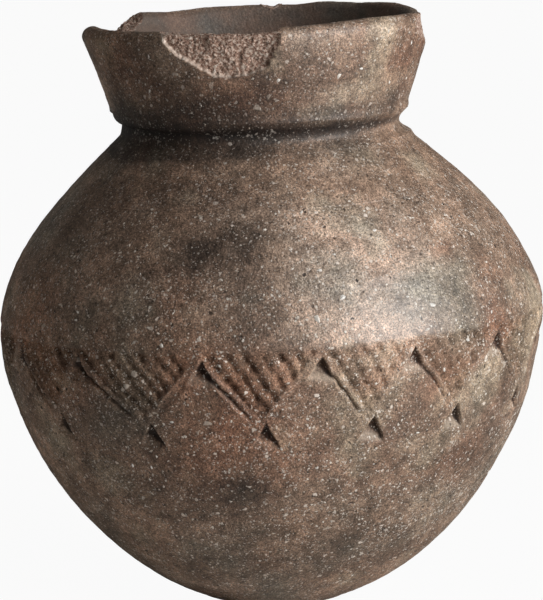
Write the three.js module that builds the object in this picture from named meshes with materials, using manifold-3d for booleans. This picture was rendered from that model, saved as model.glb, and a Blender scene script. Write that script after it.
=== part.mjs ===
// A small globular jar, coil-built by hand in coarse gritty clay: a flat base pad, seven coils of wall,
// a throat coil, a flared collar and a rim coil, each luted to the next along a bevelled seam. The belly
// coil carries a zigzag of chip-carved cuts with comb-stamped triangles hanging between them.
// Millimetres, +Z up. The origin is the centre of the foot, and the front of the jar faces -Y.
import * as THREE from "three";
import { ConvexGeometry } from "three/addons/geometries/ConvexGeometry.js";
import { mergeVertices } from "three/addons/utils/BufferGeometryUtils.js";
import Module from "manifold-3d";

// The outside of the jar.
const FOOT_RADIUS = 17.8;
const BELLY_RADIUS = 65;
const BELLY_HEIGHT = 66;
const THROAT_RADIUS = 33.2;
const THROAT_HEIGHT = 113;
const THROAT_ROUND = 1.6;
const COLLAR_LEDGE = 2;
const COLLAR_LEDGE_RISE = 2.6;
const COLLAR_HEIGHT = 25;
const COLLAR_FLARE = 6.2;

// How full the curves are: the length of each curve's handle, and how steeply the heel leaves the foot.
const HEEL_RISE = 21;
const HEEL_HANDLE = 39;
const UNDER_BELLY_HANDLE = 10.8;
const OVER_BELLY_HANDLE = 23.5;
const SHOULDER_HANDLE = 4;
const SHOULDER_SLOPE = 60;

// The clay's thickness.
const WALL = 5.5;
const COLLAR_WALL = 4.7;
const BASE_THICKNESS = 7;

// The jar dried a little out of true: above the belly it leans to the left.
const LEAN = 2.6;
const RIM_DRIFT = 4.2;

// Where one piece of clay ends and the next begins, measured along the outside of the wall.
const HEEL_WIDTH = 9.5;
const BAND_BELOW_BELLY = 21;
const BAND_ABOVE_BELLY = 4.6;
const LOWER_COILS = 3;
const UPPER_COILS = 3;
const THROAT_COIL_BELOW = 4.2;
const THROAT_COIL_ABOVE = 4.4;
const RIM_COIL_WIDTH = 12.5;
const SEAM_BEVEL = 4;

// The cut and stamped zigzag round the belly. A drift is how far a cut strayed from even spacing, in degrees.
const CELL_COUNT = 15;
const UPPER_CUT_START = 6.5;
const LOWER_CUT_START = -2;
const UPPER_CUT_DRIFT = [4, 0, -1, 2, -2, 1, 3, 0, -2, 1, 2, -3, 2, -1, 5];
const LOWER_CUT_DRIFT = [1, 0, -3, -3, -1, 1, 2, 0, -1, 0, 2, -1, -2, -1, 0];
const UPPER_CUT_ABOVE_BELLY = 2.2;
const LOWER_CUT_BELOW_BELLY = 13.4;
const CUT_LEFT = 4.6;
const CUT_RIGHT = 2.9;
const CUT_HEIGHT = 7.2;
const CUT_DEPTH = 2;
const CUT_DEEPEST_RIGHT = 0.7;
const CUT_DEEPEST_BELOW = 3;
const GROOVE_WIDTH = 2.2;
const DEEP_GROOVE_DEPTH = 1;
const SHALLOW_GROOVE_DEPTH = 0.6;
const GROOVE_GAP = 3;
const STAMP_ROW_SPACING = 4.1;
const STAMP_TOOTH_SPACING = 2.8;
const STAMP_LENGTH = 2.1;
const STAMP_WIDTH = 1.5;
const STAMP_DEPTH = 0.75;
const STAMP_ROWS = 5;
const STAMP_TEETH = 6;
const STAMP_MARGIN = 1.9;
const STAMP_START = 1.5;

// Old damage to the rim, each break as the rounded lump of clay that came away: where it was centred, its
// half width and half height, and how deep it bit. A break with no depth went through the whole lip.
const BREAKS = [
  { azimuth: -21, halfWidth: 18, halfHeight: 10.6, depth: 2.4 },
  { azimuth: -2, halfWidth: 15, halfHeight: 9, depth: 2.2 },
  { azimuth: 92, halfWidth: 20, halfHeight: 10, depth: 1.1 },
  { azimuth: -113, halfWidth: 12, halfHeight: 3.8 },
  { azimuth: 173, halfWidth: 3.2, halfHeight: 1 },
];
const BREAK_BULGE = 8;
const THROUGH_BREAK_BULGE = 9.4;

const COLLAR_FOOT_RADIUS = THROAT_RADIUS + COLLAR_LEDGE;
const COLLAR_FOOT_HEIGHT = THROAT_HEIGHT + COLLAR_LEDGE_RISE;
const RIM_RADIUS = COLLAR_FOOT_RADIUS + COLLAR_FLARE;
const RIM_HEIGHT = THROAT_HEIGHT + COLLAR_HEIGHT;

const COLUMNS = 60;
const ROWS_PER_COIL = 3;
const LIP_STEPS = 6;
const CUTTER_REACH = 1.7;

const CLAY_BROWN = 0x6f5f54;
const CLAY_GREY = 0x55504b;
const CLAY_PINK = 0x7a6558;

const wasm = await Module();
wasm.setup();

const radians = THREE.MathUtils.degToRad;
const at = (radius, height) => new THREE.Vector2(radius, height);

// The outside of the wall as one path, from the edge of the foot up to the start of the lip.
function outsideOfWall() {
  const heel = radians(HEEL_RISE);
  const slope = radians(SHOULDER_SLOPE);
  const belly = at(BELLY_RADIUS, BELLY_HEIGHT);
  const underThroat = at(THROAT_RADIUS + THROAT_ROUND / 3, THROAT_HEIGHT - THROAT_ROUND / 2);
  const collarFoot = at(COLLAR_FOOT_RADIUS, COLLAR_FOOT_HEIGHT);
  const path = new THREE.CurvePath();
  path.add(
    new THREE.CubicBezierCurve(
      at(FOOT_RADIUS, 0),
      at(FOOT_RADIUS + HEEL_HANDLE * Math.cos(heel), HEEL_HANDLE * Math.sin(heel)),
      at(BELLY_RADIUS, BELLY_HEIGHT - UNDER_BELLY_HANDLE),
      belly,
    ),
  );
  path.add(
    new THREE.CubicBezierCurve(
      belly,
      at(BELLY_RADIUS, BELLY_HEIGHT + OVER_BELLY_HANDLE),
      at(
        underThroat.x + SHOULDER_HANDLE * Math.cos(slope),
        underThroat.y - SHOULDER_HANDLE * Math.sin(slope),
      ),
      underThroat,
    ),
  );
  path.add(new THREE.QuadraticBezierCurve(underThroat, at(THROAT_RADIUS, THROAT_HEIGHT + THROAT_ROUND / 2), collarFoot));
  path.add(new THREE.LineCurve(collarFoot, at(RIM_RADIUS, RIM_HEIGHT - COLLAR_WALL / 2)));
  return path;
}

const outside = outsideOfWall();
const outsideLength = outside.getLength();
const [lowerLength, bellyToThroat, toCollar] = outside.getCurveLengths();

// The point of the outside that lies a distance along it, and the way out of the clay there.
function wallAt(distance) {
  const share = THREE.MathUtils.clamp(distance / outsideLength, 0, 1);
  const along = outside.getTangent(share);
  return { point: outside.getPoint(share), out: at(along.y, -along.x) };
}

function thicknessAt(distance) {
  const collar = THREE.MathUtils.smoothstep(distance, bellyToThroat - WALL, toCollar + WALL);
  return THREE.MathUtils.lerp(WALL, COLLAR_WALL, collar);
}

function insideAt(distance) {
  const { point, out } = wallAt(distance);
  return point.addScaledVector(out, -thicknessAt(distance));
}

// The distance along the outside at which it reaches a height.
function distanceAtHeight(height) {
  let low = 0;
  let high = outsideLength;
  for (let halving = 0; halving < 40; halving++) {
    const middle = (low + high) / 2;
    if (wallAt(middle).point.y < height) low = middle;
    else high = middle;
  }
  return low;
}

// Carries a point of the true round jar to where the leaning jar has it. Azimuth 0 is the front.
function leaned(radius, height, azimuth) {
  const tilt = radians(LEAN) * THREE.MathUtils.smoothstep(height, 0, BELLY_HEIGHT);
  const drift = RIM_DRIFT * (height / RIM_HEIGHT) ** 2;
  const across = radius * Math.sin(azimuth);
  return new THREE.Vector3(
    across * Math.cos(tilt) - drift,
    -radius * Math.cos(azimuth),
    height + across * Math.sin(tilt),
  );
}

// Turns a closed outline round the axis. Each facet is split from its wider edge's first corner, so that
// two pieces on either side of a seam have the same faces there.
function turned(outline) {
  const count = outline.length;
  const positions = [];
  const indices = [];
  for (let column = 0; column < COLUMNS; column++) {
    const azimuth = (column / COLUMNS) * 2 * Math.PI;
    for (const { x, y } of outline) positions.push(...leaned(x, y, azimuth));
  }
  const split = (a, b, c, d, widerFirst) =>
    widerFirst ? [[a, c, b], [a, d, c]] : [[a, d, b], [b, d, c]];
  for (let row = 0; row < count; row++) {
    const next = (row + 1) % count;
    const [from, to] = [outline[row], outline[next]];
    if (from.x === 0 && to.x === 0) continue;
    for (let column = 0; column < COLUMNS; column++) {
      const here = column * count;
      const beside = ((column + 1) % COLUMNS) * count;
      const [first, second] = split(here + row, here + next, beside + next, beside + row, from.x > to.x);
      if (from.x > 0 && to.x > 0) indices.push(...first);
      indices.push(...second);
    }
  }
  const geometry = new THREE.BufferGeometry();
  geometry.setAttribute("position", new THREE.Float32BufferAttribute(positions, 3));
  geometry.setIndex(indices);
  return geometry;
}

const steps = (count) => Array.from({ length: count + 1 }, (_, step) => step / count);
const between = (low, high, count) => steps(count).map((share) => THREE.MathUtils.lerp(low, high, share));

// A coil between two seams: up the outside, in along the upper seam, down the inside.
function coilOutline(low, high) {
  const up = between(low, high, ROWS_PER_COIL).map((distance) => wallAt(distance).point);
  const down = between(high - SEAM_BEVEL, low - SEAM_BEVEL, ROWS_PER_COIL).map(insideAt);
  return [...up, ...down];
}

// The pad that the jar stands on, with the first of the wall drawn up from its edge.
function baseOutline(high) {
  const heel = between(0, high, ROWS_PER_COIL).map((distance) => wallAt(distance).point);
  const lip = insideAt(high - SEAM_BEVEL);
  return [at(0, 0), ...heel, lip, at(lip.x - WALL / 2, BASE_THICKNESS), at(0, BASE_THICKNESS)];
}

// The top coil, whose lip is rounded over from the outside to the inside.
function rimOutline(low) {
  const up = between(low, outsideLength, ROWS_PER_COIL).map((distance) => wallAt(distance).point);
  const { point, out } = wallAt(outsideLength);
  const middle = point.clone().addScaledVector(out, -COLLAR_WALL / 2);
  const along = at(-out.y, out.x);
  const lip = steps(LIP_STEPS)
    .slice(1, -1)
    .map((share) => {
      const turn = share * Math.PI;
      return middle
        .clone()
        .addScaledVector(out, (Math.cos(turn) * COLLAR_WALL) / 2)
        .addScaledVector(along, (Math.sin(turn) * COLLAR_WALL) / 2);
    });
  const down = between(outsideLength, low - SEAM_BEVEL, ROWS_PER_COIL).map(insideAt);
  return [...up, ...lip, ...down];
}

// A point of the jar's skin, so far along the wall from the belly's widest line, raised or sunk along the way out.
function skin(azimuth, aboveBelly, proud = 0) {
  const { point, out } = wallAt(lowerLength + aboveBelly);
  point.addScaledVector(out, proud);
  return leaned(point.x, point.y, radians(azimuth));
}

const degreesAcross = (width) => THREE.MathUtils.radToDeg(width / BELLY_RADIUS);

// A convex tool that presses a foot into the clay: the ring of points lies on the skin, and the sides run on out of it.
function pressed(rims) {
  const points = rims.flatMap(({ rim, foot }) => [
    foot,
    ...rim.map((corner) => foot.clone().lerp(corner, CUTTER_REACH)),
  ]);
  return new ConvexGeometry(points);
}

// A chip-carved cut: a triangle that is steep on the right and rises slowly to its left and lower edges.
function chipCut({ azimuth, above }) {
  const rim = [
    skin(azimuth, above),
    skin(azimuth - degreesAcross(CUT_LEFT), above - CUT_HEIGHT),
    skin(azimuth + degreesAcross(CUT_RIGHT), above - CUT_HEIGHT),
  ];
  const deepest = azimuth + degreesAcross(CUT_DEEPEST_RIGHT);
  return pressed([{ rim, foot: skin(deepest, above - CUT_DEEPEST_BELOW, -CUT_DEPTH) }]);
}

// A tapering groove from one place on the skin to another.
function groove(from, to, depth) {
  const half = degreesAcross(GROOVE_WIDTH / 2);
  const end = ({ azimuth, above }, sink, width) => ({
    rim: [skin(azimuth - width, above), skin(azimuth + width, above)],
    foot: skin(azimuth, above, -sink),
  });
  return pressed([end(from, depth, half), end(to, depth / 2, half / 2)]);
}

// One tooth of the comb: a four-sided pit along the row.
function toothPit(azimuth, above, alongAzimuth, alongAbove) {
  const long = STAMP_LENGTH / 2;
  const wide = degreesAcross(STAMP_WIDTH / 2);
  const rim = [
    skin(azimuth + alongAzimuth * long, above + alongAbove * long),
    skin(azimuth - alongAzimuth * long, above - alongAbove * long),
    skin(azimuth + wide, above),
    skin(azimuth - wide, above),
  ];
  return pressed([{ rim, foot: skin(azimuth, above, -STAMP_DEPTH) }]);
}

const wrapped = (list, index) => list[((index % CELL_COUNT) + CELL_COUNT) % CELL_COUNT];
const cellPitch = 360 / CELL_COUNT;
const upperCut = (cell) => ({
  azimuth: UPPER_CUT_START + cell * cellPitch + wrapped(UPPER_CUT_DRIFT, cell),
  above: UPPER_CUT_ABOVE_BELLY,
});
const lowerCut = (cell) => ({
  azimuth: LOWER_CUT_START + cell * cellPitch + wrapped(LOWER_CUT_DRIFT, cell),
  above: -LOWER_CUT_BELOW_BELLY,
});

// The comb rows in the triangle that hangs between two upper cuts, each row parallel to its left groove.
function stampedTriangle(left, tip, right) {
  const pits = [];
  const down = left.above - tip.above;
  const slant = (tip.azimuth - left.azimuth) / down;
  const slantWidth = slant / degreesAcross(1);
  const length = Math.hypot(1, slantWidth);
  for (let row = 1; row <= STAMP_ROWS; row++) {
    for (let tooth = 0; tooth < STAMP_TEETH; tooth++) {
      const fallen = STAMP_START + (tooth * STAMP_TOOTH_SPACING) / length;
      const azimuth = left.azimuth + slant * fallen + degreesAcross(row * STAMP_ROW_SPACING);
      const above = left.above - fallen;
      const rightEdge = THREE.MathUtils.lerp(right.azimuth, tip.azimuth, fallen / down);
      if (azimuth > rightEdge - degreesAcross(STAMP_MARGIN)) continue;
      pits.push(toothPit(azimuth, above, -slant / length, 1 / length));
    }
  }
  return pits;
}

function bandCutters() {
  const cutters = [];
  for (let cell = 0; cell < CELL_COUNT; cell++) {
    const [left, tip, right] = [upperCut(cell - 1), lowerCut(cell), upperCut(cell)];
    const beside = (cut, gap, drop) => ({
      azimuth: cut.azimuth + degreesAcross(gap),
      above: cut.above - drop,
    });
    cutters.push(chipCut(left), chipCut(tip));
    cutters.push(
      groove(beside(left, CUT_RIGHT / 2, CUT_HEIGHT / 2), beside(tip, -GROOVE_GAP, 0), DEEP_GROOVE_DEPTH),
      groove(beside(right, -CUT_LEFT / 2, CUT_HEIGHT), beside(tip, GROOVE_GAP, 0), SHALLOW_GROOVE_DEPTH),
    );
    cutters.push(...stampedTriangle(left, tip, right));
  }
  return cutters;
}

// The lump of clay that a break took away: a coarse ellipsoid square to the collar's wall, sunk into its
// outside, or centred on the crest of the lip where the break went through.
function brokenLump({ azimuth, halfWidth, halfHeight, depth }) {
  const facing = radians(azimuth);
  const { point, out } = wallAt(outsideLength);
  const bulge = depth === undefined ? THROUGH_BREAK_BULGE : BREAK_BULGE;
  const centre =
    depth === undefined
      ? at(RIM_RADIUS - COLLAR_WALL / 2, RIM_HEIGHT)
      : point.addScaledVector(out, bulge - depth);
  return new THREE.IcosahedronGeometry(1, 2)
    .scale(halfWidth, bulge, halfHeight)
    .rotateX(-out.angle())
    .rotateZ(facing)
    .translate(...leaned(centre.x, centre.y, facing));
}

function solidOf(geometry) {
  const bare = geometry.clone();
  bare.deleteAttribute("normal");
  bare.deleteAttribute("uv");
  const merged = mergeVertices(bare, 1e-4);
  return new wasm.Manifold(
    new wasm.Mesh({
      numProp: 3,
      vertProperties: merged.attributes.position.array,
      triVerts: new Uint32Array(merged.index.array),
    }),
  );
}

function cutBy(geometry, cutters) {
  const cut = cutters.reduce((solid, cutter) => solid.subtract(solidOf(cutter)), solidOf(geometry));
  const { vertProperties, triVerts } = cut.getMesh();
  const result = new THREE.BufferGeometry();
  result.setAttribute("position", new THREE.BufferAttribute(vertProperties, 3));
  result.setIndex(new THREE.BufferAttribute(triVerts, 1));
  return result;
}

function clay(color, roughness) {
  return new THREE.MeshStandardMaterial({ color, roughness, metalness: 0 });
}

const jar = new THREE.Group();

function addPiece(name, geometry, material) {
  const mesh = new THREE.Mesh(geometry, material);
  mesh.name = name;
  jar.add(mesh);
}

const heelSeam = HEEL_WIDTH;
const bandLow = lowerLength - BAND_BELOW_BELLY;
const bandHigh = lowerLength + BAND_ABOVE_BELLY;
const throatDistance = distanceAtHeight(THROAT_HEIGHT);
const throatLow = throatDistance - THROAT_COIL_BELOW;
const throatHigh = throatDistance + THROAT_COIL_ABOVE;
const rimSeam = outsideLength + COLLAR_WALL / 2 - RIM_COIL_WIDTH;

const lowerSeams = between(heelSeam, bandLow, LOWER_COILS);
const upperSeams = between(bandHigh, throatLow, UPPER_COILS);

addPiece("base_disc", turned(baseOutline(heelSeam)), clay(CLAY_BROWN, 0.8));
for (let coil = 0; coil < LOWER_COILS; coil++) {
  const outline = coilOutline(lowerSeams[coil], lowerSeams[coil + 1]);
  addPiece(`lower_coil_${coil + 1}`, turned(outline), clay(CLAY_BROWN, 0.75));
}
addPiece("belly_band", cutBy(turned(coilOutline(bandLow, bandHigh)), bandCutters()), clay(CLAY_PINK, 0.8));
for (let coil = 0; coil < UPPER_COILS; coil++) {
  const outline = coilOutline(upperSeams[coil], upperSeams[coil + 1]);
  addPiece(`upper_coil_${coil + 1}`, turned(outline), clay(CLAY_PINK, 0.65));
}
addPiece("throat_coil", turned(coilOutline(throatLow, throatHigh)), clay(CLAY_GREY, 0.8));
addPiece("collar_strap", turned(coilOutline(throatHigh, rimSeam)), clay(CLAY_BROWN, 0.8));
addPiece("rim_coil", cutBy(turned(rimOutline(rimSeam)), BREAKS.map(brokenLump)), clay(CLAY_BROWN, 0.8));

export default jar;
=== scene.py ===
"""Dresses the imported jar: a small round pot, coil-built by hand from coarse clay full of pale grit.

Each coil is turned from its section of the wall and then worked over as hands, knife and comb worked the
clay: uneven swells, wiping marks, the cut and stamped zigzag round the belly, and the old breaks of the
rim. Metres, +Z up, and the front faces -Y. An azimuth is in degrees from the front and grows towards +X.
A station is a distance along the wall's section: from the edge of the foot up the outside, over the lip,
down the inside and in along the floor. Under the foot it is negative.
"""

from __future__ import annotations

import logging
import math
from collections.abc import Callable
from dataclasses import dataclass, field
from enum import Enum

import bpy
import numpy as np
from mathutils import Euler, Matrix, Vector

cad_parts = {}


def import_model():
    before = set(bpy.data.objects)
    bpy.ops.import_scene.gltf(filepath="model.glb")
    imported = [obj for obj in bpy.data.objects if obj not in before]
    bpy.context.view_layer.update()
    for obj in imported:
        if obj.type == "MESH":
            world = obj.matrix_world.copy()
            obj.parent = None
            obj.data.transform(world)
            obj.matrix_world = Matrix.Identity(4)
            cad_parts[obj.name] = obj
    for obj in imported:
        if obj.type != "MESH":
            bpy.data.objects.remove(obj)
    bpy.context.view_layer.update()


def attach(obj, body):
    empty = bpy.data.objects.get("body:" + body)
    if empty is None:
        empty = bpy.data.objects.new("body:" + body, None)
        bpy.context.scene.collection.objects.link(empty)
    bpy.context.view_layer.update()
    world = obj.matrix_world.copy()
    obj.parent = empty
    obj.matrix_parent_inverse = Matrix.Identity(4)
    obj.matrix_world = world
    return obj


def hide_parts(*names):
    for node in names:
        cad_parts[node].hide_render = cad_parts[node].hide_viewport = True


MM = 0.001
Array = np.ndarray
log = logging.getLogger("jar")


def smooth(value: Array, low: float, high: float) -> Array:
    """Rises softly from 0 at low to 1 at high."""
    share = np.clip((value - low) / (high - low), 0, 1)
    return share * share * (3 - 2 * share)


def bell(value: Array, width: float) -> Array:
    """A soft hump, 1 at nought and all but gone two widths away."""
    return np.exp(-((value / width) ** 2))


def wrapped(degrees: Array) -> Array:
    """Angles brought to the nearest turn, between -180 and 180."""
    return (degrees + 180) % 360 - 180


def linear(code: str) -> tuple[float, float, float, float]:
    """A colour written as sRGB hex, in the linear values that shaders take.

    Args:
        code: The colour, such as "#8a7566".

    Returns:
        Red, green, blue and full alpha.
    """
    shares = [int(code[start : start + 2], 16) / 255 for start in (1, 3, 5)]
    red, green, blue = (s / 12.92 if s <= 0.04045 else ((s + 0.055) / 1.055) ** 2.4 for s in shares)
    return red, green, blue, 1.0


class ClayNoise:
    """Smooth noise in space from a seeded lattice, between -1 and 1."""

    CELLS = 48

    def __init__(self, seed: int) -> None:
        """Fills the lattice from the seed."""
        self._lattice = np.random.default_rng(seed).uniform(-1, 1, (self.CELLS,) * 3)

    def at(self, places: Array, size: float) -> Array:
        """The noise at each place.

        Args:
            places: Points, one a row.
            size: How far apart the lattice's knots lie.

        Returns:
            One value for each place.
        """
        scaled = places / size
        corner = np.floor(scaled).astype(int)
        share = scaled - corner
        share = share * share * (3 - 2 * share)
        total = np.zeros(len(places))
        for step in np.ndindex(2, 2, 2):
            weight = np.prod(np.where(step, share, 1 - share), axis=1)
            knot = (corner + step) % self.CELLS
            total += weight * self._lattice[knot[:, 0], knot[:, 1], knot[:, 2]]
        return total


@dataclass
class WallForm:
    """The jar's true round form, before it leaned: the section of its wall and how the jar leans."""

    foot_radius: float = 17.8 * MM
    belly_radius: float = 65 * MM
    belly_height: float = 66 * MM
    throat_radius: float = 33.2 * MM
    throat_height: float = 113 * MM
    throat_round: float = 1.6 * MM
    collar_ledge: float = 2 * MM
    collar_ledge_rise: float = 2.6 * MM
    collar_height: float = 25 * MM
    collar_flare: float = 6.2 * MM
    heel_rise: float = 21
    heel_handle: float = 39 * MM
    under_belly_handle: float = 10.8 * MM
    over_belly_handle: float = 23.5 * MM
    shoulder_handle: float = 4 * MM
    shoulder_slope: float = 60
    wall: float = 5.5 * MM
    collar_wall: float = 4.7 * MM
    base_thickness: float = 7 * MM
    heel_width: float = 9.5 * MM
    seam_bevel: float = 4 * MM
    lean: float = 2.6
    rim_drift: float = 4.2 * MM
    table_step: float = 0.05 * MM
    curve_points: int = 800
    corner_softness: float = 0.7 * MM
    inside_softness: float = 6 * MM

    def __post_init__(self) -> None:
        """Works out the outside, then the whole section as one table of stations."""
        self.rim_height = self.throat_height + self.collar_height
        outside, self.lower_length, self.belly_to_throat, self.to_collar = self._outside()
        self.length = self.table_step * (len(outside) - 1)
        self._outside_heights = outside[:, 1]
        self.lip_length = math.pi * self.collar_wall / 2
        runs = [self._foot(), outside, self._lip(outside), self._inside(outside)]
        points = np.concatenate([runs[0]] + [run[1:] for run in runs[1:]])
        steps = np.hypot(*np.diff(points, axis=0).T)
        inside_start = len(runs[0]) + len(outside) + len(runs[2]) - 3
        stations = np.concatenate([[0], np.cumsum(steps)]) - self.foot_radius
        travelled = np.arange(len(points) - inside_start) * self.table_step
        stations[inside_start:] = self.length + self.lip_length + travelled
        self._stations = stations
        self._points = self._softened(points, self.corner_softness)
        along = np.gradient(self._points, axis=0)
        along /= np.hypot(*along.T)[:, None]
        self._out = self._softened(np.column_stack([along[:, 1], -along[:, 0]]), self.corner_softness)

    def _softened(self, values: Array, reach: float) -> Array:
        """Rounds off the corners of a run of values, up to a reach to either side.

        Args:
            values: The run, one row a station.
            reach: How far to each side.

        Returns:
            The softened run.
        """
        half = round(reach / self.table_step)
        padded = np.pad(values, ((half, half), (0, 0)), mode="reflect", reflect_type="odd")
        window = np.ones(2 * half + 1) / (2 * half + 1)
        return np.column_stack([np.convolve(column, window, mode="valid") for column in padded.T])

    def _outside(self) -> tuple[Array, float, float, float]:
        """The outside from the foot's edge to the start of the lip.

        Returns:
            Its points, and the stations of the belly, the throat and the collar's foot.
        """
        heel = math.radians(self.heel_rise)
        slope = math.radians(self.shoulder_slope)
        foot = np.array([self.foot_radius, 0])
        belly = np.array([self.belly_radius, self.belly_height])
        throat_x = self.throat_radius + self.throat_round / 3
        throat = np.array([throat_x, self.throat_height - self.throat_round / 2])
        over_throat = np.array([self.throat_radius, self.throat_height + self.throat_round / 2])
        throat_top = np.array([self.throat_radius, self.throat_height])
        collar = throat_top + (self.collar_ledge, self.collar_ledge_rise)
        rim = np.array([collar[0] + self.collar_flare, self.rim_height - self.collar_wall / 2])
        heel_way = self.heel_handle * np.array([math.cos(heel), math.sin(heel)])
        shoulder_way = self.shoulder_handle * np.array([math.cos(slope), -math.sin(slope)])
        curves = [
            [foot, foot + heel_way, belly - (0, self.under_belly_handle), belly],
            [belly, belly + (0, self.over_belly_handle), throat + shoulder_way, throat],
            [throat, over_throat, collar],
            [collar, rim],
        ]
        runs = [self._bezier(curve) for curve in curves]
        points = np.concatenate([runs[0]] + [run[1:] for run in runs[1:]])
        distance = np.concatenate([[0], np.cumsum(np.hypot(*np.diff(points, axis=0).T))])
        ends = np.cumsum([len(run) - 1 for run in runs])
        even = np.linspace(0, distance[-1], round(distance[-1] / self.table_step) + 1)
        outside = np.column_stack([np.interp(even, distance, column) for column in points.T])
        return outside, distance[ends[0]], distance[ends[1]], distance[ends[2]]

    def _bezier(self, corners: list[Array]) -> Array:
        """Closely spaced points of the curve that these corners pull.

        Args:
            corners: The curve's corners.

        Returns:
            The points, one a row.
        """
        share = np.linspace(0, 1, self.curve_points)[:, None]
        level = [corner + 0 * share for corner in corners]
        while len(level) > 1:
            level = [start + (end - start) * share for start, end in zip(level, level[1:])]
        return level[0]

    def _foot(self) -> Array:
        """The underside, from the axis out to the foot's edge."""
        radii = np.linspace(0, self.foot_radius, round(self.foot_radius / self.table_step) + 1)
        return np.column_stack([radii, 0 * radii])

    def _lip(self, outside: Array) -> Array:
        """The half circle over the lip.

        Args:
            outside: The outside's points.

        Returns:
            The lip's points.
        """
        along = (outside[-1] - outside[-9]) / np.hypot(*(outside[-1] - outside[-9]))
        out = np.array([along[1], -along[0]])
        half = self.collar_wall / 2
        turn = np.linspace(0, math.pi, round(self.lip_length / self.table_step) + 1)[:, None]
        return outside[-1] - out * half + half * (out * np.cos(turn) + along * np.sin(turn))

    def _inside(self, outside: Array) -> Array:
        """The inside from the lip down to the floor, and the floor in to the axis.

        Args:
            outside: The outside's points.

        Returns:
            The inside's points.
        """
        along = np.gradient(outside, axis=0)
        out = self._softened(np.column_stack([along[:, 1], -along[:, 0]]), self.inside_softness)
        out /= np.hypot(*out.T)[:, None]
        distance = np.arange(len(outside)) * self.table_step
        thinning = smooth(distance, self.belly_to_throat - self.wall, self.to_collar + self.wall)
        thickness = self.wall + (self.collar_wall - self.wall) * thinning
        wall = (outside - out * thickness[:, None])[::-1]
        lowest = round((self.length - self.heel_width + self.seam_bevel) / self.table_step)
        wall = wall[: lowest + 1]
        radii = np.arange(wall[-1, 0], 0, -self.table_step)
        sag = smooth(radii, wall[-1, 0] - self.wall / 2, wall[-1, 0])
        heights = self.base_thickness + (wall[-1, 1] - self.base_thickness) * sag
        floor = np.column_stack([radii, heights])
        return np.concatenate([wall, floor[1:], [[0, self.base_thickness]]])

    def section(self, stations: Array) -> tuple[Array, Array]:
        """The section's points and the ways out of the clay there.

        Args:
            stations: Distances along the section.

        Returns:
            Radius and height of each point, and the way out as radius and height.
        """
        points = [np.interp(stations, self._stations, column) for column in self._points.T]
        out = [np.interp(stations, self._stations, column) for column in self._out.T]
        return np.column_stack(points), np.column_stack(out)

    @property
    def first_station(self) -> float:
        """The station of the axis under the foot."""
        return float(self._stations[0])

    @property
    def last_station(self) -> float:
        """The station of the axis on the floor."""
        return float(self._stations[-1])

    def opposite(self, station: float) -> float:
        """The inside station that faces an outside one through the wall."""
        return 2 * self.length + self.lip_length - station

    def station_at(self, heights: Array) -> Array:
        """The outside stations at these heights."""
        known = self._outside_heights
        return np.interp(heights, known, self.table_step * np.arange(len(known)))

    def radius_at(self, heights: Array) -> Array:
        """The outside's radius at these heights, with the collar's slope carried on over the lip.

        Args:
            heights: Heights on the upright jar.

        Returns:
            The radii there.
        """
        top = self.rim_height - self.collar_wall / 2
        radii = self.section(self.station_at(np.minimum(heights, top)))[0][:, 0]
        slope = self.collar_flare / (top - self.throat_height - self.collar_ledge_rise)
        return radii + np.maximum(heights - top, 0) * slope

    def leaned(self, points: Array, azimuth: Array) -> Array:
        """Where the leaning jar has points of the true round one.

        Args:
            points: Radius and height of each point.
            azimuth: The azimuth of each point.

        Returns:
            The places in the jar's frame, one a row.
        """
        radius, height = points.T
        turn = np.radians(azimuth)
        tilt = math.radians(self.lean) * smooth(height, 0, self.belly_height)
        drift = self.rim_drift * (height / self.rim_height) ** 2
        across = radius * np.sin(turn)
        return np.column_stack(
            [across * np.cos(tilt) - drift, -radius * np.cos(turn), height + across * np.sin(tilt)]
        )


@dataclass(frozen=True)
class Cut:
    """Where the apex of a chip cut lies: its azimuth, and its height over the belly's widest line."""

    azimuth: float
    above: float


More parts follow.
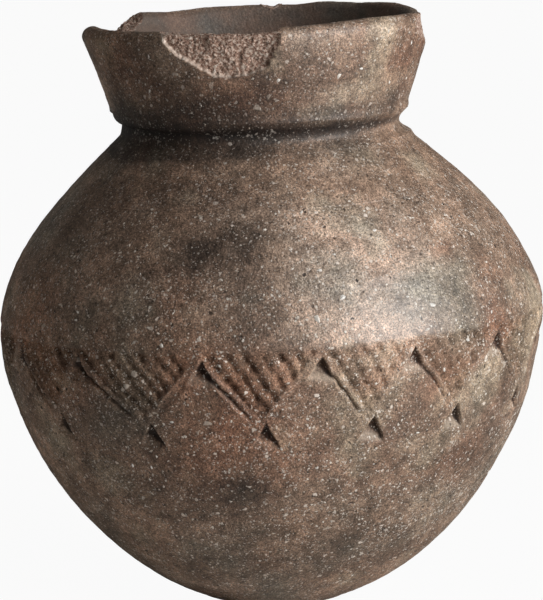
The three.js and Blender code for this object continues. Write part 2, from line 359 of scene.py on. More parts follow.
@dataclass(frozen=True)
class BellyZigzag:
    """The zigzag round the belly: chip cuts, the grooves that join them, and comb stamps between."""

    cells: int = 15
    upper_start: float = 6.5
    lower_start: float = -2
    upper_drift: tuple[float, ...] = (4, 0, -1, 2, -2, 1, 3, 0, -2, 1, 2, -3, 2, -1, 4)
    lower_drift: tuple[float, ...] = (1, 0, -3, -3, -1, 1, 2, 0, -1, 0, 2, -1, -2, -1, 0)
    upper_above_belly: float = 2.2 * MM
    lower_below_belly: float = 13.4 * MM
    cut_left: tuple[float, float] = (-4.4 * MM, -6.8 * MM)
    cut_right: tuple[float, float] = (3.5 * MM, -7.4 * MM)
    cut_depth: float = 2.6 * MM
    cut_right_steepness: float = 2.6
    cut_left_steepness: float = 1.4
    cut_floor_slope: float = 0.46
    # How wide the painted shade lies along a cut's right wall at its apex, and how much wider it grows on the
    # side away from the key light.
    cut_shade_width: float = 4.2 * MM
    shade_gain: float = 1.8
    # How much of a cut's pale bared floor shows on the shaded left, and over which azimuths it grows to full
    # on the lit right: painted light.
    least_lit_floor: float = 0.3
    lit_floor_from: tuple[float, float] = (5, 20)
    cut_roughness: float = 0.2 * MM
    # Where round the jar the cuts' painted shade is widest, on the side away from the key light, and how far
    # round it spreads.
    darkest_azimuth: float = -70
    shade_reach: float = 50
    # How dark the painted shade is in a cut's depth, in the comb's deeper pits and down a groove.
    deep_shade: float = 0.6
    pit_shade: float = 0.55
    groove_shade: float = 0.85
    groove_start: float = 0.75
    groove_depth: float = 0.95 * MM
    groove_left: float = 0.85 * MM
    groove_right: float = 0.5 * MM
    groove_end_gap: float = 3.0 * MM
    trough_start: float = 0.5
    trough_wear: tuple[float, float] = (0.3, 1.1)
    trough_depth: float = 0.42 * MM
    trough_half_width: float = 1.25 * MM
    burr_height: float = 0.16 * MM
    burr_width: float = 0.45 * MM
    row_spacing: float = 3.9 * MM
    tooth_spacing: float = 2.75 * MM
    tooth_length: float = 1.2 * MM
    tooth_width: float = 0.75 * MM
    tooth_depth: float = 1.0 * MM
    row_depth: float = 0.6 * MM
    row_width: float = 0.95 * MM
    rows: int = 7
    teeth: int = 6
    comb_start: float = 0.7 * MM
    comb_upright: float = 0.7
    tilt_spread: float = 0.07
    first_row: float = 0.45
    # How far a stamp strays along its row and across it, in millimetres, and how its depth varies.
    stray: float = 0.4
    side_stray: float = 0.3
    row_spread: tuple[float, float] = (0.4, 1.0)
    tooth_spread: tuple[float, float] = (0.45, 1.15)
    furrow_share: float = 0.6
    comb_sink: float = 0.22 * MM
    comb_roughness: float = 0.16 * MM
    cell_wear: tuple[float, ...] = (1, 0.75, 0.8, 0.9, 1, 0.8, 1, 0.9, 0.7, 1, 0.8, 1, 0.9, 0.7, 0.75)
    # How far a cell's page of skin reaches past its cuts.
    page_left: float = 8 * MM
    page_right: float = 4 * MM
    page_above: float = 8 * MM
    page_below: float = 14 * MM
    seed: int = 11

    def upper_cut(self, cell: int) -> Cut:
        """The upper cut at a cell's right."""
        drift = self.upper_drift[cell % self.cells]
        return Cut(self.upper_start + cell * 360 / self.cells + drift, self.upper_above_belly)

    def lower_cut(self, cell: int) -> Cut:
        """The lower cut at a cell's tip."""
        drift = self.lower_drift[cell % self.cells]
        return Cut(self.lower_start + cell * 360 / self.cells + drift, -self.lower_below_belly)

    def marks(self, azimuth: Array, above: Array, belly_radius: float, crumble: Array) -> dict[str, Array]:
        """What the knife and the comb did to the skin, and the painted shade in their cuts, grooves and pits.

        Args:
            azimuth: The azimuth of each point.
            above: How far each point lies over the belly's widest line, along the wall.
            belly_radius: The jar's radius there, which turns degrees into widths.
            crumble: A noise that roughens the stamped ground.

        Returns:
            How far each point moves out of the clay, and by name how much painted shade it gets in the cuts,
            grooves and comb pits, how much comb stamping it bears and how far it lies on a cut's pale floor,
            laid paler on the lit right as painted light.
        """
        degree = math.radians(belly_radius)
        depth, burr, comb, floor, dark = (np.zeros(len(azimuth)) for _ in range(5))
        random = np.random.default_rng(self.seed)
        for cell in range(self.cells):
            left, tip, right = self.upper_cut(cell - 1), self.lower_cut(cell), self.upper_cut(cell)
            page = wrapped(azimuth - tip.azimuth) * degree
            left_at = np.array([(left.azimuth - tip.azimuth) * degree, left.above])
            right_at = np.array([(right.azimuth - tip.azimuth) * degree, right.above])
            tip_at = np.array([0, tip.above])
            near = (page > left_at[0] - self.page_left) & (page < right_at[0] + self.page_right)
            near &= (above < self.page_above) & (above > tip.above - self.page_below)
            here = np.column_stack([page[near], above[near]])
            # The cuts on the side away from the key light get wider painted shade.
            from_darkest = wrapped(tip.azimuth - self.darkest_azimuth)
            painted_shade = 1 + self.shade_gain * bell(from_darkest / self.shade_reach, 1)
            chips = [self._chip(here - at, painted_shade) for at in (left_at, tip_at)]
            parts = chips + [self._groove(here, left_at, tip_at)]
            cut = np.maximum.reduce([part[0] for part in parts])
            trough, trough_edge = self._trough(here, right_at, tip_at, random.uniform(*self.trough_wear))
            stamped, ground = self._combed(here, left_at, right_at, tip_at, self.cell_wear[cell], random)
            stamped += ground * (self.comb_sink + self.comb_roughness * crumble[near])
            cut = cut + self.cut_roughness * crumble[near] * smooth(cut, 0.1 * MM, 0.6 * MM)
            depth[near] = np.maximum.reduce([depth[near], cut, trough, stamped])
            # A cut's pale floor is laid paler where the key light falls, on the right: painted light on bared
            # clay.
            lit_floor = self.least_lit_floor + (1 - self.least_lit_floor) * smooth(wrapped(tip.azimuth), *self.lit_floor_from)
            bared = lit_floor * smooth(np.maximum(chips[0][0], chips[1][0]), 0.1 * MM, 0.5 * MM)
            floor[near] = np.maximum(floor[near], bared)
            # Painted shade along a cut's right wall and in its depth, and down a groove.
            dark[near] = np.maximum.reduce([dark[near]] + [part[2] for part in parts])
            burr[near] = np.maximum.reduce([burr[near], trough_edge] + [part[1] for part in parts])
            comb[near] = np.maximum(comb[near], ground * smooth(-cut, -0.3 * MM, 0))
        burr *= smooth(-depth, -0.25 * MM, 0)
        # Painted shade in the comb's deeper pits; with the cuts' it goes out as the hollow mark.
        pits = self.pit_shade * comb * smooth(depth, 0.5 * MM, 1.5 * MM)
        marks = {"out": burr * self.burr_height - depth, "comb": comb, "hollow": np.maximum(dark, pits)}
        return marks | {"cut": (1 - dark) * floor}

    @staticmethod
    def _inside(here: Array, start: Array, end: Array) -> Array:
        """How far each point lies to the left of the line from start to end.

        Args:
            here: Points of the unrolled skin.
            start: One end.
            end: The other end.

        Returns:
            The distance, negative to the right.
        """
        way = np.subtract(end, start) / math.dist(start, end)
        apart = here - start
        return way[0] * apart[:, 1] - way[1] * apart[:, 0]

    def _chip(self, here: Array, painted_shade: float) -> tuple[Array, Array, Array]:
        """The depth, burr and painted shade of a chip cut under the origin: deep at the apex and along its
        right.

        Args:
            here: Points of the unrolled skin.
            painted_shade: How much wider its painted shade lies, on the side away from the key light.

        Returns:
            The depth, the burr's share and the painted shade.
        """
        apex = (0, 0)
        left = self._inside(here, apex, self.cut_left)
        right = self._inside(here, self.cut_right, apex)
        floor = self._inside(here, self.cut_left, self.cut_right)
        walls = np.minimum(self.cut_left_steepness * left, self.cut_right_steepness * right)
        depth = np.clip(np.minimum(walls, self.cut_floor_slope * floor), 0, self.cut_depth)
        outside = np.maximum(-np.minimum(left, right), 0)
        # Painted shade along the right wall, widest at the apex, and in the cut's depth.
        shade = self.cut_shade_width * painted_shade * (1 - here[:, 1] / self.cut_right[1]) - right
        dark = smooth(shade, -0.2 * MM, 0.6 * MM) * smooth(depth, 0.15 * MM, 0.7 * MM)
        dark = np.maximum(dark, self.deep_shade * smooth(depth, 0.7 * MM, 1.5 * MM))
        return depth, bell(outside, self.burr_width) * (floor > 0), dark

    def _groove(self, here: Array, left: Array, tip: Array) -> tuple[Array, Array, Array]:
        """The deep knife line from a cut's right corner down to the tip, with its steep side at the right.

        Args:
            here: Points of the unrolled skin.
            left: The upper cut.
            tip: The lower cut.

        Returns:
            The depth, the burr's share and the painted shade down its deepest line.
        """
        start = left + self.groove_start * np.array(self.cut_right)
        end = tip - np.array([self.groove_end_gap, 0])
        length = math.dist(start, end)
        share = (here - start) @ (end - start) / length**2
        beside = self._inside(here, start, end)
        side = np.where(beside > 0, beside / self.groove_right, -beside / self.groove_left)
        fade = smooth(share, -0.1, 0.05) * (1 - smooth(share, 0.75, 1.05)) * (1 - 0.35 * np.clip(share, 0, 1))
        depth = self.groove_depth * fade * np.clip(1 - side, 0, 1)
        burr = bell(np.maximum(-beside - self.groove_left, 0), self.burr_width) * fade * (beside < 0)
        return depth, burr, self.groove_shade * smooth(depth, 0.25 * MM, 0.75 * MM)

    def _trough(self, here: Array, right: Array, tip: Array, share_of_depth: float) -> tuple[Array, Array]:
        """The shallow thumbed trough from the next upper cut down to the tip.

        Args:
            here: Points of the unrolled skin.
            right: The next upper cut.
            tip: The lower cut.
            share_of_depth: How much of its depth is left.

        Returns:
            The depth and the edge's share.
        """
        start = right + self.trough_start * np.array(self.cut_left)
        length = math.dist(start, tip)
        share = (here - start) @ (tip - start) / length**2
        side = self._inside(here, start, tip) / self.trough_half_width
        fade = smooth(share, -0.05, 0.25) * (1 - smooth(share, 0.85, 1.05)) * share_of_depth
        depth = self.trough_depth * fade * np.clip(1 - side**2, 0, 1) ** 1.5
        return depth, 0.5 * fade * bell(np.abs(side) - 1.25, 0.3)

    def _combed(
        self, here: Array, left: Array, right: Array, tip: Array, wear: float, random: np.random.Generator
    ) -> tuple[Array, Array]:
        """The comb's stamps in the triangle that hangs between two upper cuts.

        Args:
            here: Points of the unrolled skin.
            left: The upper cut at the left.
            right: The upper cut at the right.
            tip: The lower cut.
            wear: How much of the stamps' depth is left.
            random: Where the stamps' unevenness comes from.

        Returns:
            How deep the stamps are, and where the stamped ground is.
        """
        sides = ((left, tip, 0.9 * MM), (tip, right, -1.2 * MM), (right, left, 1.2 * MM))
        area = np.minimum.reduce([self._inside(here, start, end) + over for start, end, over in sides])
        ground = smooth(area, -0.3 * MM, 0.8 * MM)
        upright = self.comb_upright + random.uniform(-self.tilt_spread, self.tilt_spread)
        slant = upright * (tip[0] - left[0]) / (left[1] - tip[1])
        way = np.array([slant, -1]) / math.hypot(slant, 1)
        beside_way = np.array([-way[1], way[0]])
        depth = np.zeros(len(here))
        for row in range(self.rows):
            across = (row + self.first_row) * self.row_spacing + random.uniform(-self.stray, self.stray) * MM
            start = left + np.array([across, 0])
            beside = (here - start) @ beside_way
            furrow = self.row_depth * random.uniform(*self.row_spread) * bell(beside, self.row_width)
            depth = np.maximum(depth, furrow)
            for tooth in range(self.teeth):
                fallen = self.comb_start + tooth * self.tooth_spacing
                fallen += random.uniform(-self.stray, self.stray) * MM
                along = (here - start) @ way - fallen
                off_line = beside + random.uniform(-self.side_stray, self.side_stray) * MM
                pit = self.tooth_depth * random.uniform(*self.tooth_spread)
                pit = pit * bell(along, self.tooth_length) * bell(off_line, self.tooth_width)
                depth = np.maximum(depth, pit + self.furrow_share * furrow)
        return depth * ground * wear, ground


@dataclass(frozen=True)
class RimWear:
    """What age did to the rim: an uneven lip, a large flake, a worn side, a chip and a nick.

    Each outline is a run of azimuths and heights in millimetres on the upright jar.
    """

    lip_rise: tuple[tuple[float, float], ...] = (
        (-98, -0.9), (-90, -0.6), (-84, -0.25), (-78, 0.0), (-66, 0.05), (-48, 0.3), (-30, 0.5), (9, 0.5),
        (26, 0.7), (43, 0.9), (66, 0.5), (80, -0.2), (88, -1.4), (97, -1.7), (104, -1.1), (108, -0.6),
        (121, 0.1), (140, -0.25), (157, 0.05), (165, -0.35), (181, -0.1), (200, -0.2), (214, -0.65),
        (226, 0.0), (250, 0.2),
    )
    lip_rise_start: float = 122 * MM
    crest_outline: tuple[tuple[float, float], ...] = (
        (-136, 142), (-134, 138.7), (-132, 138.1), (-130, 136.9), (-127, 136.3), (-124, 135.1),
        (-118, 134.3), (-110, 134.2), (-103, 134.6), (-97, 135.9), (-93, 137.2), (-90, 142), (-36, 142),
        (-33, 138.8), (-30, 138.4), (-19, 138.35), (-5, 138.0), (5, 138.1), (9, 139.0), (12, 142),
        (170, 142), (171, 138.3), (173.7, 137.5), (177.3, 137.9), (178.7, 138.4), (180, 142),
    )
    scar_outline: tuple[tuple[float, float], ...] = (
        (-34, 141.0), (-32, 138.2), (-31, 136.6), (-28, 133.8), (-24, 132.2), (-19.3, 130.2),
        (-14.6, 128.3), (-8.8, 128.0), (-2.5, 128.8), (3.6, 130.2), (5.9, 132.5), (9.4, 136.5),
        (12, 141.0),
    )
    break_reach: float = 16 * MM
    crest_points: int = 400
    scar_step: float = 1.0 * MM
    scar_depth: float = 2.4 * MM
    scar_edges: tuple[tuple[float, float], ...] = ((-30, 0.6), (-5, 0.7), (2, 1.4), (10, 3.0))
    scar_lip: float = 0.3 * MM
    scar_hollow_width: float = 6 * MM
    edge_roughness: float = 0.8
    worn_roughness: float = 0.5
    flake_azimuth: float = 90
    flake_height: float = 139.5 * MM
    flake_half_width: float = 28
    flake_half_height: float = 8.8 * MM
    flake_depth: float = 3.7 * MM
    flake_fullness: float = 1.5
    rough_sizes: tuple[tuple[float, float], ...] = (
        (0.5 * MM, 0.22 * MM), (0.85 * MM, 0.16 * MM), (2.1 * MM, 0.22 * MM), (5 * MM, 0.25 * MM)
    )

    def roughness(self, places: Array, noise: ClayNoise) -> Array:
        """How far a broken face stands off its smooth run at each place."""
        return sum(height * noise.at(places, size) for size, height in self.rough_sizes)

    def rise(self, azimuth: Array, height: Array, rim_height: float) -> Array:
        """How far the uneven lip stands over the round form's."""
        rise = np.interp(azimuth, *np.transpose(self.lip_rise), period=360) * MM
        return rise * smooth(height, self.lip_rise_start, rim_height)

    def cut_down(
        self, form: WallForm, points: Array, stations: Array, azimuth: Array, rough: Array
    ) -> tuple[Array, Array]:
        """Lays what stood higher than a break's crest on the break, from the outside across to the inside.

        Args:
            form: The jar's form.
            points: Radius and height of each point.
            stations: Their stations.
            azimuth: Their azimuths.
            rough: The breaks' roughness at each of them.

        Returns:
            The moved points, and 1 where a point lies on the break.
        """
        crest = np.interp(azimuth, *np.transpose(self.crest_outline), period=360) * MM
        crest += rough - self.rise(azimuth, crest, form.rim_height)
        top = form.length + form.lip_length / 2
        outer = np.linspace(form.length - self.break_reach, top, self.crest_points)
        inner = np.linspace(top + form.lip_length / 2 + self.break_reach, top, self.crest_points)
        start = np.interp(crest, form.section(outer)[0][:, 1], outer)
        end = np.interp(crest, form.section(inner)[0][:, 1], inner)
        over = (stations > start) & (stations < end)
        share = np.clip((stations - start) / np.maximum(end - start, 1e-9), 0, 1)[:, None]
        low, high = form.section(start)[0], form.section(end)[0]
        laid = low + (high - low) * share
        return np.where(over[:, None], laid, points), over.astype(float)

    def flaked(
        self, form: WallForm, points: Array, azimuth: Array, outer: Array, rough: Array
    ) -> tuple[Array, Array, Array]:
        """Cuts the large scar and the worn side into the rim's outside.

        Args:
            form: The jar's form.
            points: Radius and height of each point.
            azimuth: Their azimuths.
            outer: The radius that the outside has at each point's height.
            rough: The breaks' roughness at each of them.

        Returns:
            The moved points, how broken the clay is there, and how far it lies on the scar's fresh edge.
        """
        edge = self._scar_distance(form, azimuth, points[:, 1])
        edge = np.maximum(edge + self.edge_roughness * rough * (edge > 0), 0)
        softness = np.interp(azimuth, *np.transpose(self.scar_edges)) * MM
        hollow = smooth(edge, 0, self.scar_hollow_width)
        depth = self.scar_step + (self.scar_depth - self.scar_step) * hollow + rough
        depth = depth * smooth(edge, 0, softness)
        across = wrapped(azimuth - self.flake_azimuth) / self.flake_half_width
        flake = np.hypot(across, (points[:, 1] - self.flake_height) / self.flake_half_height)
        worn = self.flake_depth * np.clip(1 - flake**self.flake_fullness, 0, 1)
        depth = np.maximum(depth, worn + self.worn_roughness * rough * smooth(worn, 0, 0.4 * MM))
        furthest = outer - depth
        bitten = (depth > 0) & (points[:, 0] > furthest)
        strength = smooth(np.where(bitten, depth, 0), 0.1 * MM, 0.7 * MM)
        fresh = bell(edge - self.scar_lip, self.scar_lip) * (edge > 0) * smooth(-azimuth, -6, 2)
        return np.column_stack([np.where(bitten, furthest, points[:, 0]), points[:, 1]]), strength, fresh

    def _scar_distance(self, form: WallForm, azimuth: Array, height: Array) -> Array:
        """How far each point lies inside the outline of the large flake's scar.

        Args:
            form: The jar's form.
            azimuth: The points' azimuths.
            height: Their heights on the upright jar.

        Returns:
            The distance from the outline, and 0 outside it.
        """
        degree = math.radians(form.throat_radius + form.collar_ledge + form.collar_flare)
        corners = [np.array([at * degree, up * MM]) for at, up in self.scar_outline]
        here = np.column_stack([azimuth * degree, height])
        nearest = np.full(len(here), 1.0)
        for start, end in zip(corners, corners[1:]):
            way = end - start
            share = np.clip((here - start) @ way / (way @ way), 0, 1)[:, None]
            nearest = np.minimum(nearest, np.hypot(*(here - start - way * share).T))
        border = np.interp(azimuth, *np.transpose(self.scar_outline)) * MM
        first, last = self.scar_outline[0][0], self.scar_outline[-1][0]
        within = (height > border) & (azimuth > first) & (azimuth < last)
        return np.where(within, nearest, 0)


class Tone(Enum):
    """What the fire, the hearth and wear left on the clay, and painted light and shade: soot also paints the
    shade in the crease under the collar, and pale patches mostly paint highlight and reflection.
    """

    SOOT_AND_SHADE = "soot_and_shade"
    PALE_AND_SHEEN = "pale"
    RUST = "rust"


@dataclass(frozen=True)
class TonePatch:
    """A soft patch of tone on the outside, centred at an azimuth and a height in millimetres."""

    tone: Tone
    azimuth: float
    height: float
    half_width: float
    half_height: float
    strength: float


# Each patch's azimuth, height, half width, half height and strength.
PATCHES = tuple(
    TonePatch(tone, *row)
    for tone, rows in {
        # Soot; the rows at 110 to 112.5 mm also paint the shade in the crease under the collar, the narrow
        # one at azimuth -63 paints the shade of a shallow dent in the collar, and the broad rows low down
        # make the body darker towards the bottom.
        Tone.SOOT_AND_SHADE: (
            (-30, 112.5, 36, 5, 0.9), (-82, 112.5, 30, 7.5, 1.0), (-50, 112, 30, 6, 1.0),
            (-18, 112, 22, 4, 0.5), (12, 111.5, 20, 4, 0.4), (38, 111.5, 13, 4, 0.6),
            (-50, 118.5, 26, 5, 0.5), (-63, 122, 6, 10, 0.5), (-55, 128, 22, 10, 0.15),
            (-22, 120.5, 15, 6, 0.75), (-7, 120.5, 12, 5, 0.55), (15, 118, 13, 4, 0.5),
            (32, 118, 12, 4, 0.5), (48, 118, 10, 4, 0.4), (61, 119.5, 8, 5, 0.45), (0, 127, 7, 4, 0.3),
            (11, 125, 11, 6, 0.3), (59, 127, 10, 8, 0.35), (84, 125, 18, 9, 0.45), (-52, 101, 8, 5, 0.4),
            (-60, 96, 14, 6, 0.25), (-12, 102, 13, 7, 0.4), (-15, 91.5, 14, 6, 0.55), (-4, 95, 8, 6, 0.4),
            (-18, 87, 9, 5, 0.25), (-8, 82, 9, 16, 0.35), (-3, 82, 6, 18, 0.5), (-22, 103, 24, 7, 0.25),
            (-82, 73, 12, 6, 0.3), (0, 56, 70, 9, 0.2), (12, 36, 60, 22, 0.25), (45, 46, 45, 10, 0.15),
            (-26, 80, 13, 14, 0.4), (-16, 92, 8, 14, 0.3), (-34, 98, 16, 8, 0.3), (10, 127, 80, 14, 0.2),
            (8, 131, 12, 6, 0.25), (-40, 52, 14, 6, 0.2), (-32, 55, 7, 6, 0.3), (-45, 38, 10, 8, 0.25),
            (-24, 33, 20, 8, 0.25), (-6, 36, 8, 8, 0.5), (8, 15, 22, 8, 0.3), (38, 15, 18, 10, 0.35),
            (20, 22, 8, 6, 0.35), (52, 42, 30, 18, 0.25), (62, 54, 10, 9, 0.35), (56, 73, 12, 7, 0.5),
            (48, 99, 9, 4, 0.25), (130, 111, 44, 8, 0.6), (-140, 110, 40, 9, 0.8),
            (165, 62, 24, 18, 0.45), (-115, 60, 26, 14, 0.35),
        ),
        # Pale clay, and painted light: round azimuth 20 over the belly a painted highlight where the key
        # light's sheen falls, and along the outline's left on the collar, shoulder and lower body, and at the
        # foot, painted sheen and reflection from the pale room.
        Tone.PALE_AND_SHEEN: (
            (23, 84, 27, 20, 0.5), (9, 97, 11, 7, 0.3), (10, 84, 9, 14, 0.15), (18, 78, 14, 10, 0.3),
            (28, 93, 15, 8, 0.3), (20, 67, 22, 8, 0.5), (20, 106, 16, 4, 0.3), (28, 121.5, 15, 3.5, 0.4),
            (16, 136.5, 12, 3, 0.9), (38, 137, 22, 2.2, 0.7), (-84, 121, 12, 9, 0.9),
            (-80, 127, 8, 10, 0.3), (12, 134, 8, 4, 0.4), (80, 134.5, 6, 6, 0.8), (2, 65, 10, 6, 0.35),
            (24, 66, 9, 6, 0.3), (-46, 94, 20, 16, 0.15), (-47, 80, 12, 9, 0.45), (-37, 70, 13, 10, 0.15),
            (-76, 44, 15, 14, 0.4), (-82, 28, 18, 11, 0.4), (-30, 7, 34, 5, 0.6), (10, 42, 10, 8, 0.2),
            (120, 84, 26, 14, 0.3), (-155, 82, 20, 12, 0.25),
        ),
        Tone.RUST: (
            (-54, 80, 16, 12, 0.4), (-64, 71, 10, 8, 0.5), (-48, 60, 14, 10, 0.35),
            (-12, 66, 17, 12, 0.5), (2, 64, 14, 8, 0.25), (-36, 67, 9, 8, 0.35), (38, 55, 9, 9, 0.35),
            (-11, 54, 16, 9, 0.6), (-8, 42, 18, 12, 0.6), (-20, 80, 12, 10, 0.35), (-52, 131, 16, 9, 0.6),
            (62, 128, 14, 9, 0.6), (80, 134, 6, 7, 0.8), (-15, 121, 20, 8, 0.9), (42, 121, 6, 4, 0.3),
            (54, 70, 9, 7, 0.65), (10, 127, 70, 14, 0.15), (5, 45, 60, 24, 0.15), (55, 81, 8, 5, 0.4),
            (45, 87, 5, 3, 0.5), (60, 55, 9, 8, 0.5), (50, 38, 12, 9, 0.5), (80, 82, 10, 8, 0.3),
            (150, 96, 22, 12, 0.5), (-120, 72, 20, 14, 0.4), (175, 128, 24, 10, 0.4),
        ),
    }.items()
    for row in rows
)


@dataclass
class ClaySurface:
    """The worked skin of the jar: where each point of the true form ends up, and what marks it bears.

    The settling gives, by height in millimetres, how far the soft wall drew in all round, and how much
    further on the front's right than on its left.
    """

    form: WallForm = field(default_factory=WallForm)
    zigzag: BellyZigzag = field(default_factory=BellyZigzag)
    wear: RimWear = field(default_factory=RimWear)
    settling: tuple[tuple[float, float, float], ...] = (
        (0, 0, 0), (34, -0.1, 0), (42, -0.2, -0.3), (48, -0.05, -0.35), (55, 0.1, -0.1),
        (62, 0.25, -0.15), (67, -0.1, -0.5), (72, 0.05, -0.45), (80, 0.4, -0.1), (90, 0.45, -0.1),
        (98, 0.7, 0), (105, 0.75, 0.35), (110, 0.6, 0.5), (118, 0.6, 0.25), (123, 0.5, 0), (133, 0.35, 0),
        (139, 0.2, 0),
    )
    throat_tilt: float = 0.7 * MM
    throat_reach: float = 6 * MM
    throat_radius: float = 32.9 * MM
    throat_low: float = 111.7 * MM
    throat_high: float = 114.5 * MM
    throat_corner: float = 0.9 * MM
    shoulder_spread: float = 1.2
    collar_spread: float = 4
    undercut_reach: float = 8 * MM
    undercut_softness: float = 0.15 * MM
    foot_width: float = 2.2 * MM
    foot_height: float = 2.6 * MM
    swells: tuple[tuple[float, float], ...] = ((36 * MM, 0.3 * MM), (15 * MM, 0.14 * MM), (6 * MM, 0.06 * MM))
    grain: tuple[tuple[float, float], ...] = ((2.3 * MM, 0.04 * MM), (0.95 * MM, 0.04 * MM))
    # How calm the swells are at the outline's two sides, which the photo shows smooth.
    side_calm: float = 0.7
    wander: float = 0.3 * MM
    # Where in the noise each wandering is read, in metres, and its size.
    wanderings: tuple[tuple[float, float], ...] = ((0.03, 2.6 * MM), (0.07, 2.2 * MM))
    crumb_size: float = 0.75 * MM
    crisp_foot: float = 1.5 * MM
    wipes_round: float = 4.2
    wipe_width: float = 1.5 * MM
    wipe_sway: float = 0.8
    wipe_height: float = 0.05 * MM
    inner_wipe_height: float = 0.16 * MM
    # The azimuth of the outline's right side; its left side lies as far the other way.
    side_azimuth: float = 88
    ledge_azimuth: float = 60
    ledge_height: float = 0.5 * MM
    ledge_above: float = 1.6 * MM
    ledge_width: float = 0.9 * MM
    bead_height: float = 0.12 * MM
    bead_above: float = 0.2 * MM
    bead_width: float = 1.8 * MM
    bead_reach: float = 34
    ridge_height: float = 0.5 * MM
    ridge_below: float = 3.1 * MM
    ridge_width: float = 1.3 * MM
    ridge_reach: float = 30
    # How wide the crease under the collar is darkened, with soot and painted shade, and with painted shade
    # alone.
    crease_soot_and_shade_width: float = 2.3 * MM
    crease_shade_width: float = 2.1 * MM
    open_reach: float = 36
    # Where the burnished sheen and its painted highlight lie: round the azimuth that faces the key light's
    # sheen, fading away from it and over the band's edge.
    sheen_azimuth: float = 22
    sheen_reach: float = 44
    sheen_fade: float = 14 * MM
    sheen_above: float = 1.5 * MM
    sheen_border: float = 3 * MM
    # How far under the throat hands and cloth begin to reach, and where they reach fully.
    throat_shelter: tuple[float, float] = (8 * MM, 24 * MM)
    patch_softness: float = 0.8
    patches: tuple[TonePatch, ...] = PATCHES

    def __post_init__(self) -> None:
        """Prepares the noises."""
        self.hands, self.fine, self.breaks = ClayNoise(3), ClayNoise(5), ClayNoise(8)

    def shaped(self, stations: Array, azimuth: Array) -> tuple[Array, dict[str, Array]]:
        """Works over points of the true form.

        Args:
            stations: The points' stations.
            azimuth: The points' azimuths.

        Returns:
            Their places in the jar's frame, and the marks by the names that the materials read.
        """
        form, wear = self.form, self.wear
        turn = np.radians(azimuth)
        near_throat = bell(stations - form.to_collar, self.throat_reach)
        tilted = stations - self.throat_tilt * np.sin(turn) * near_throat
        points, out = form.section(tilted)
        places = np.column_stack([points[:, 0] * np.sin(turn), points[:, 0] * np.cos(turn), points[:, 1]])
        rough = wear.roughness(places, self.breaks)
        points, chipped = wear.cut_down(form, points, tilted, azimuth, rough)
        inside = smooth(stations, form.length + 0.4 * form.lip_length, form.length + form.lip_length)
        relief, marks = self._relief(places, stations, azimuth, inside)
        points = points + out * (relief * (1 - chipped))[:, None]
        outer = form.radius_at(points[:, 1])
        rise = wear.rise(azimuth, points[:, 1], form.rim_height)
        settled = self._settled(points[:, 1], azimuth)
        points = self._undercut(points - np.column_stack([settled, -rise]), stations, azimuth)
        points, broken, fresh = wear.flaked(form, points, azimuth, outer - settled, rough)
        outside = stations < form.length + form.lip_length
        marks |= {"inside": inside, "broken": np.maximum(chipped, broken * outside), "fresh": fresh * outside}
        marks |= self._tones(places, stations, azimuth, inside)
        # Painted shade deep in the crease under the collar.
        painted_shade = self._crease(stations, azimuth, self.crease_shade_width)
        marks["hollow"] = np.maximum(marks["hollow"], painted_shade)
        return form.leaned(points, azimuth), marks

    def _relief(
        self, places: Array, stations: Array, azimuth: Array, inside: Array
    ) -> tuple[Array, dict[str, Array]]:
        """How far hands, knife and comb moved the skin out, the marks that they left, and the painted shade
        in their hollows.

        Args:
            places: The points, one a row.
            stations: The points' stations.
            azimuth: The points' azimuths.
            inside: 1 where a point lies on the inside.

        Returns:
            How far each point moves out, and the marks by name.
        """
        form = self.form
        level = np.sin(np.radians(azimuth))
        swell = sum(height * self.hands.at(places, size) for size, height in self.swells)
        relief = swell * (1 - self.side_calm * level**4)
        relief += sum(height * self.fine.at(places, size) for size, height in self.grain)
        relief += self._wiping(stations, azimuth, inside)
        relief += (1 - inside) * self._ledges(stations, azimuth)
        stray, sway = (self.wander * self.fine.at(places + shift, size) for shift, size in self.wanderings)
        crumble = self.fine.at(places, self.crumb_size)
        degree = math.radians(form.belly_radius)
        above = stations - form.lower_length + sway
        marks = self.zigzag.marks(azimuth + stray / degree, above, form.belly_radius, crumble)
        relief += marks.pop("out")
        return relief * smooth(np.abs(stations), 0, self.crisp_foot), marks

    def _settled(self, height: Array, azimuth: Array) -> Array:
        """How far the soft wall drew in at each height.

        Args:
            height: The points' heights.
            azimuth: The points' azimuths.

        Returns:
            The distances inwards.
        """
        heights, all_round, rightwards = np.transpose(self.settling) * MM
        side = np.sin(np.radians(azimuth))
        return np.interp(height, heights, all_round) + side * np.interp(height, heights, rightwards)

    def _undercut(self, points: Array, stations: Array, azimuth: Array) -> Array:
        """Opens the throat into an upright band, and rounds the collar's foot over it.

        Args:
            points: Radius and height of each point.
            stations: The points' stations.
            azimuth: The points' azimuths.

        Returns:
            The points, those over the throat drawn in.
        """
        height = points[:, 1] + self.throat_tilt * np.sin(np.radians(azimuth))
        climb = np.clip((height - self.throat_high) / self.foot_height, 0, 1)
        limit = self.throat_radius + self.foot_width * np.sqrt(1 - (1 - climb) ** 2)
        under = self.throat_low - height
        limit += self.shoulder_spread * (under + np.hypot(under, self.throat_corner))
        limit += self.collar_spread * np.maximum(height - self.throat_high - self.foot_height, 0)
        over = points[:, 0] - limit
        near = (np.abs(height - self.throat_high) < self.undercut_reach) & (stations < self.form.length)
        cut = np.where(near & (over > 0), over**2 / (over + self.undercut_softness), 0)
        return points - np.column_stack([cut, 0 * cut])

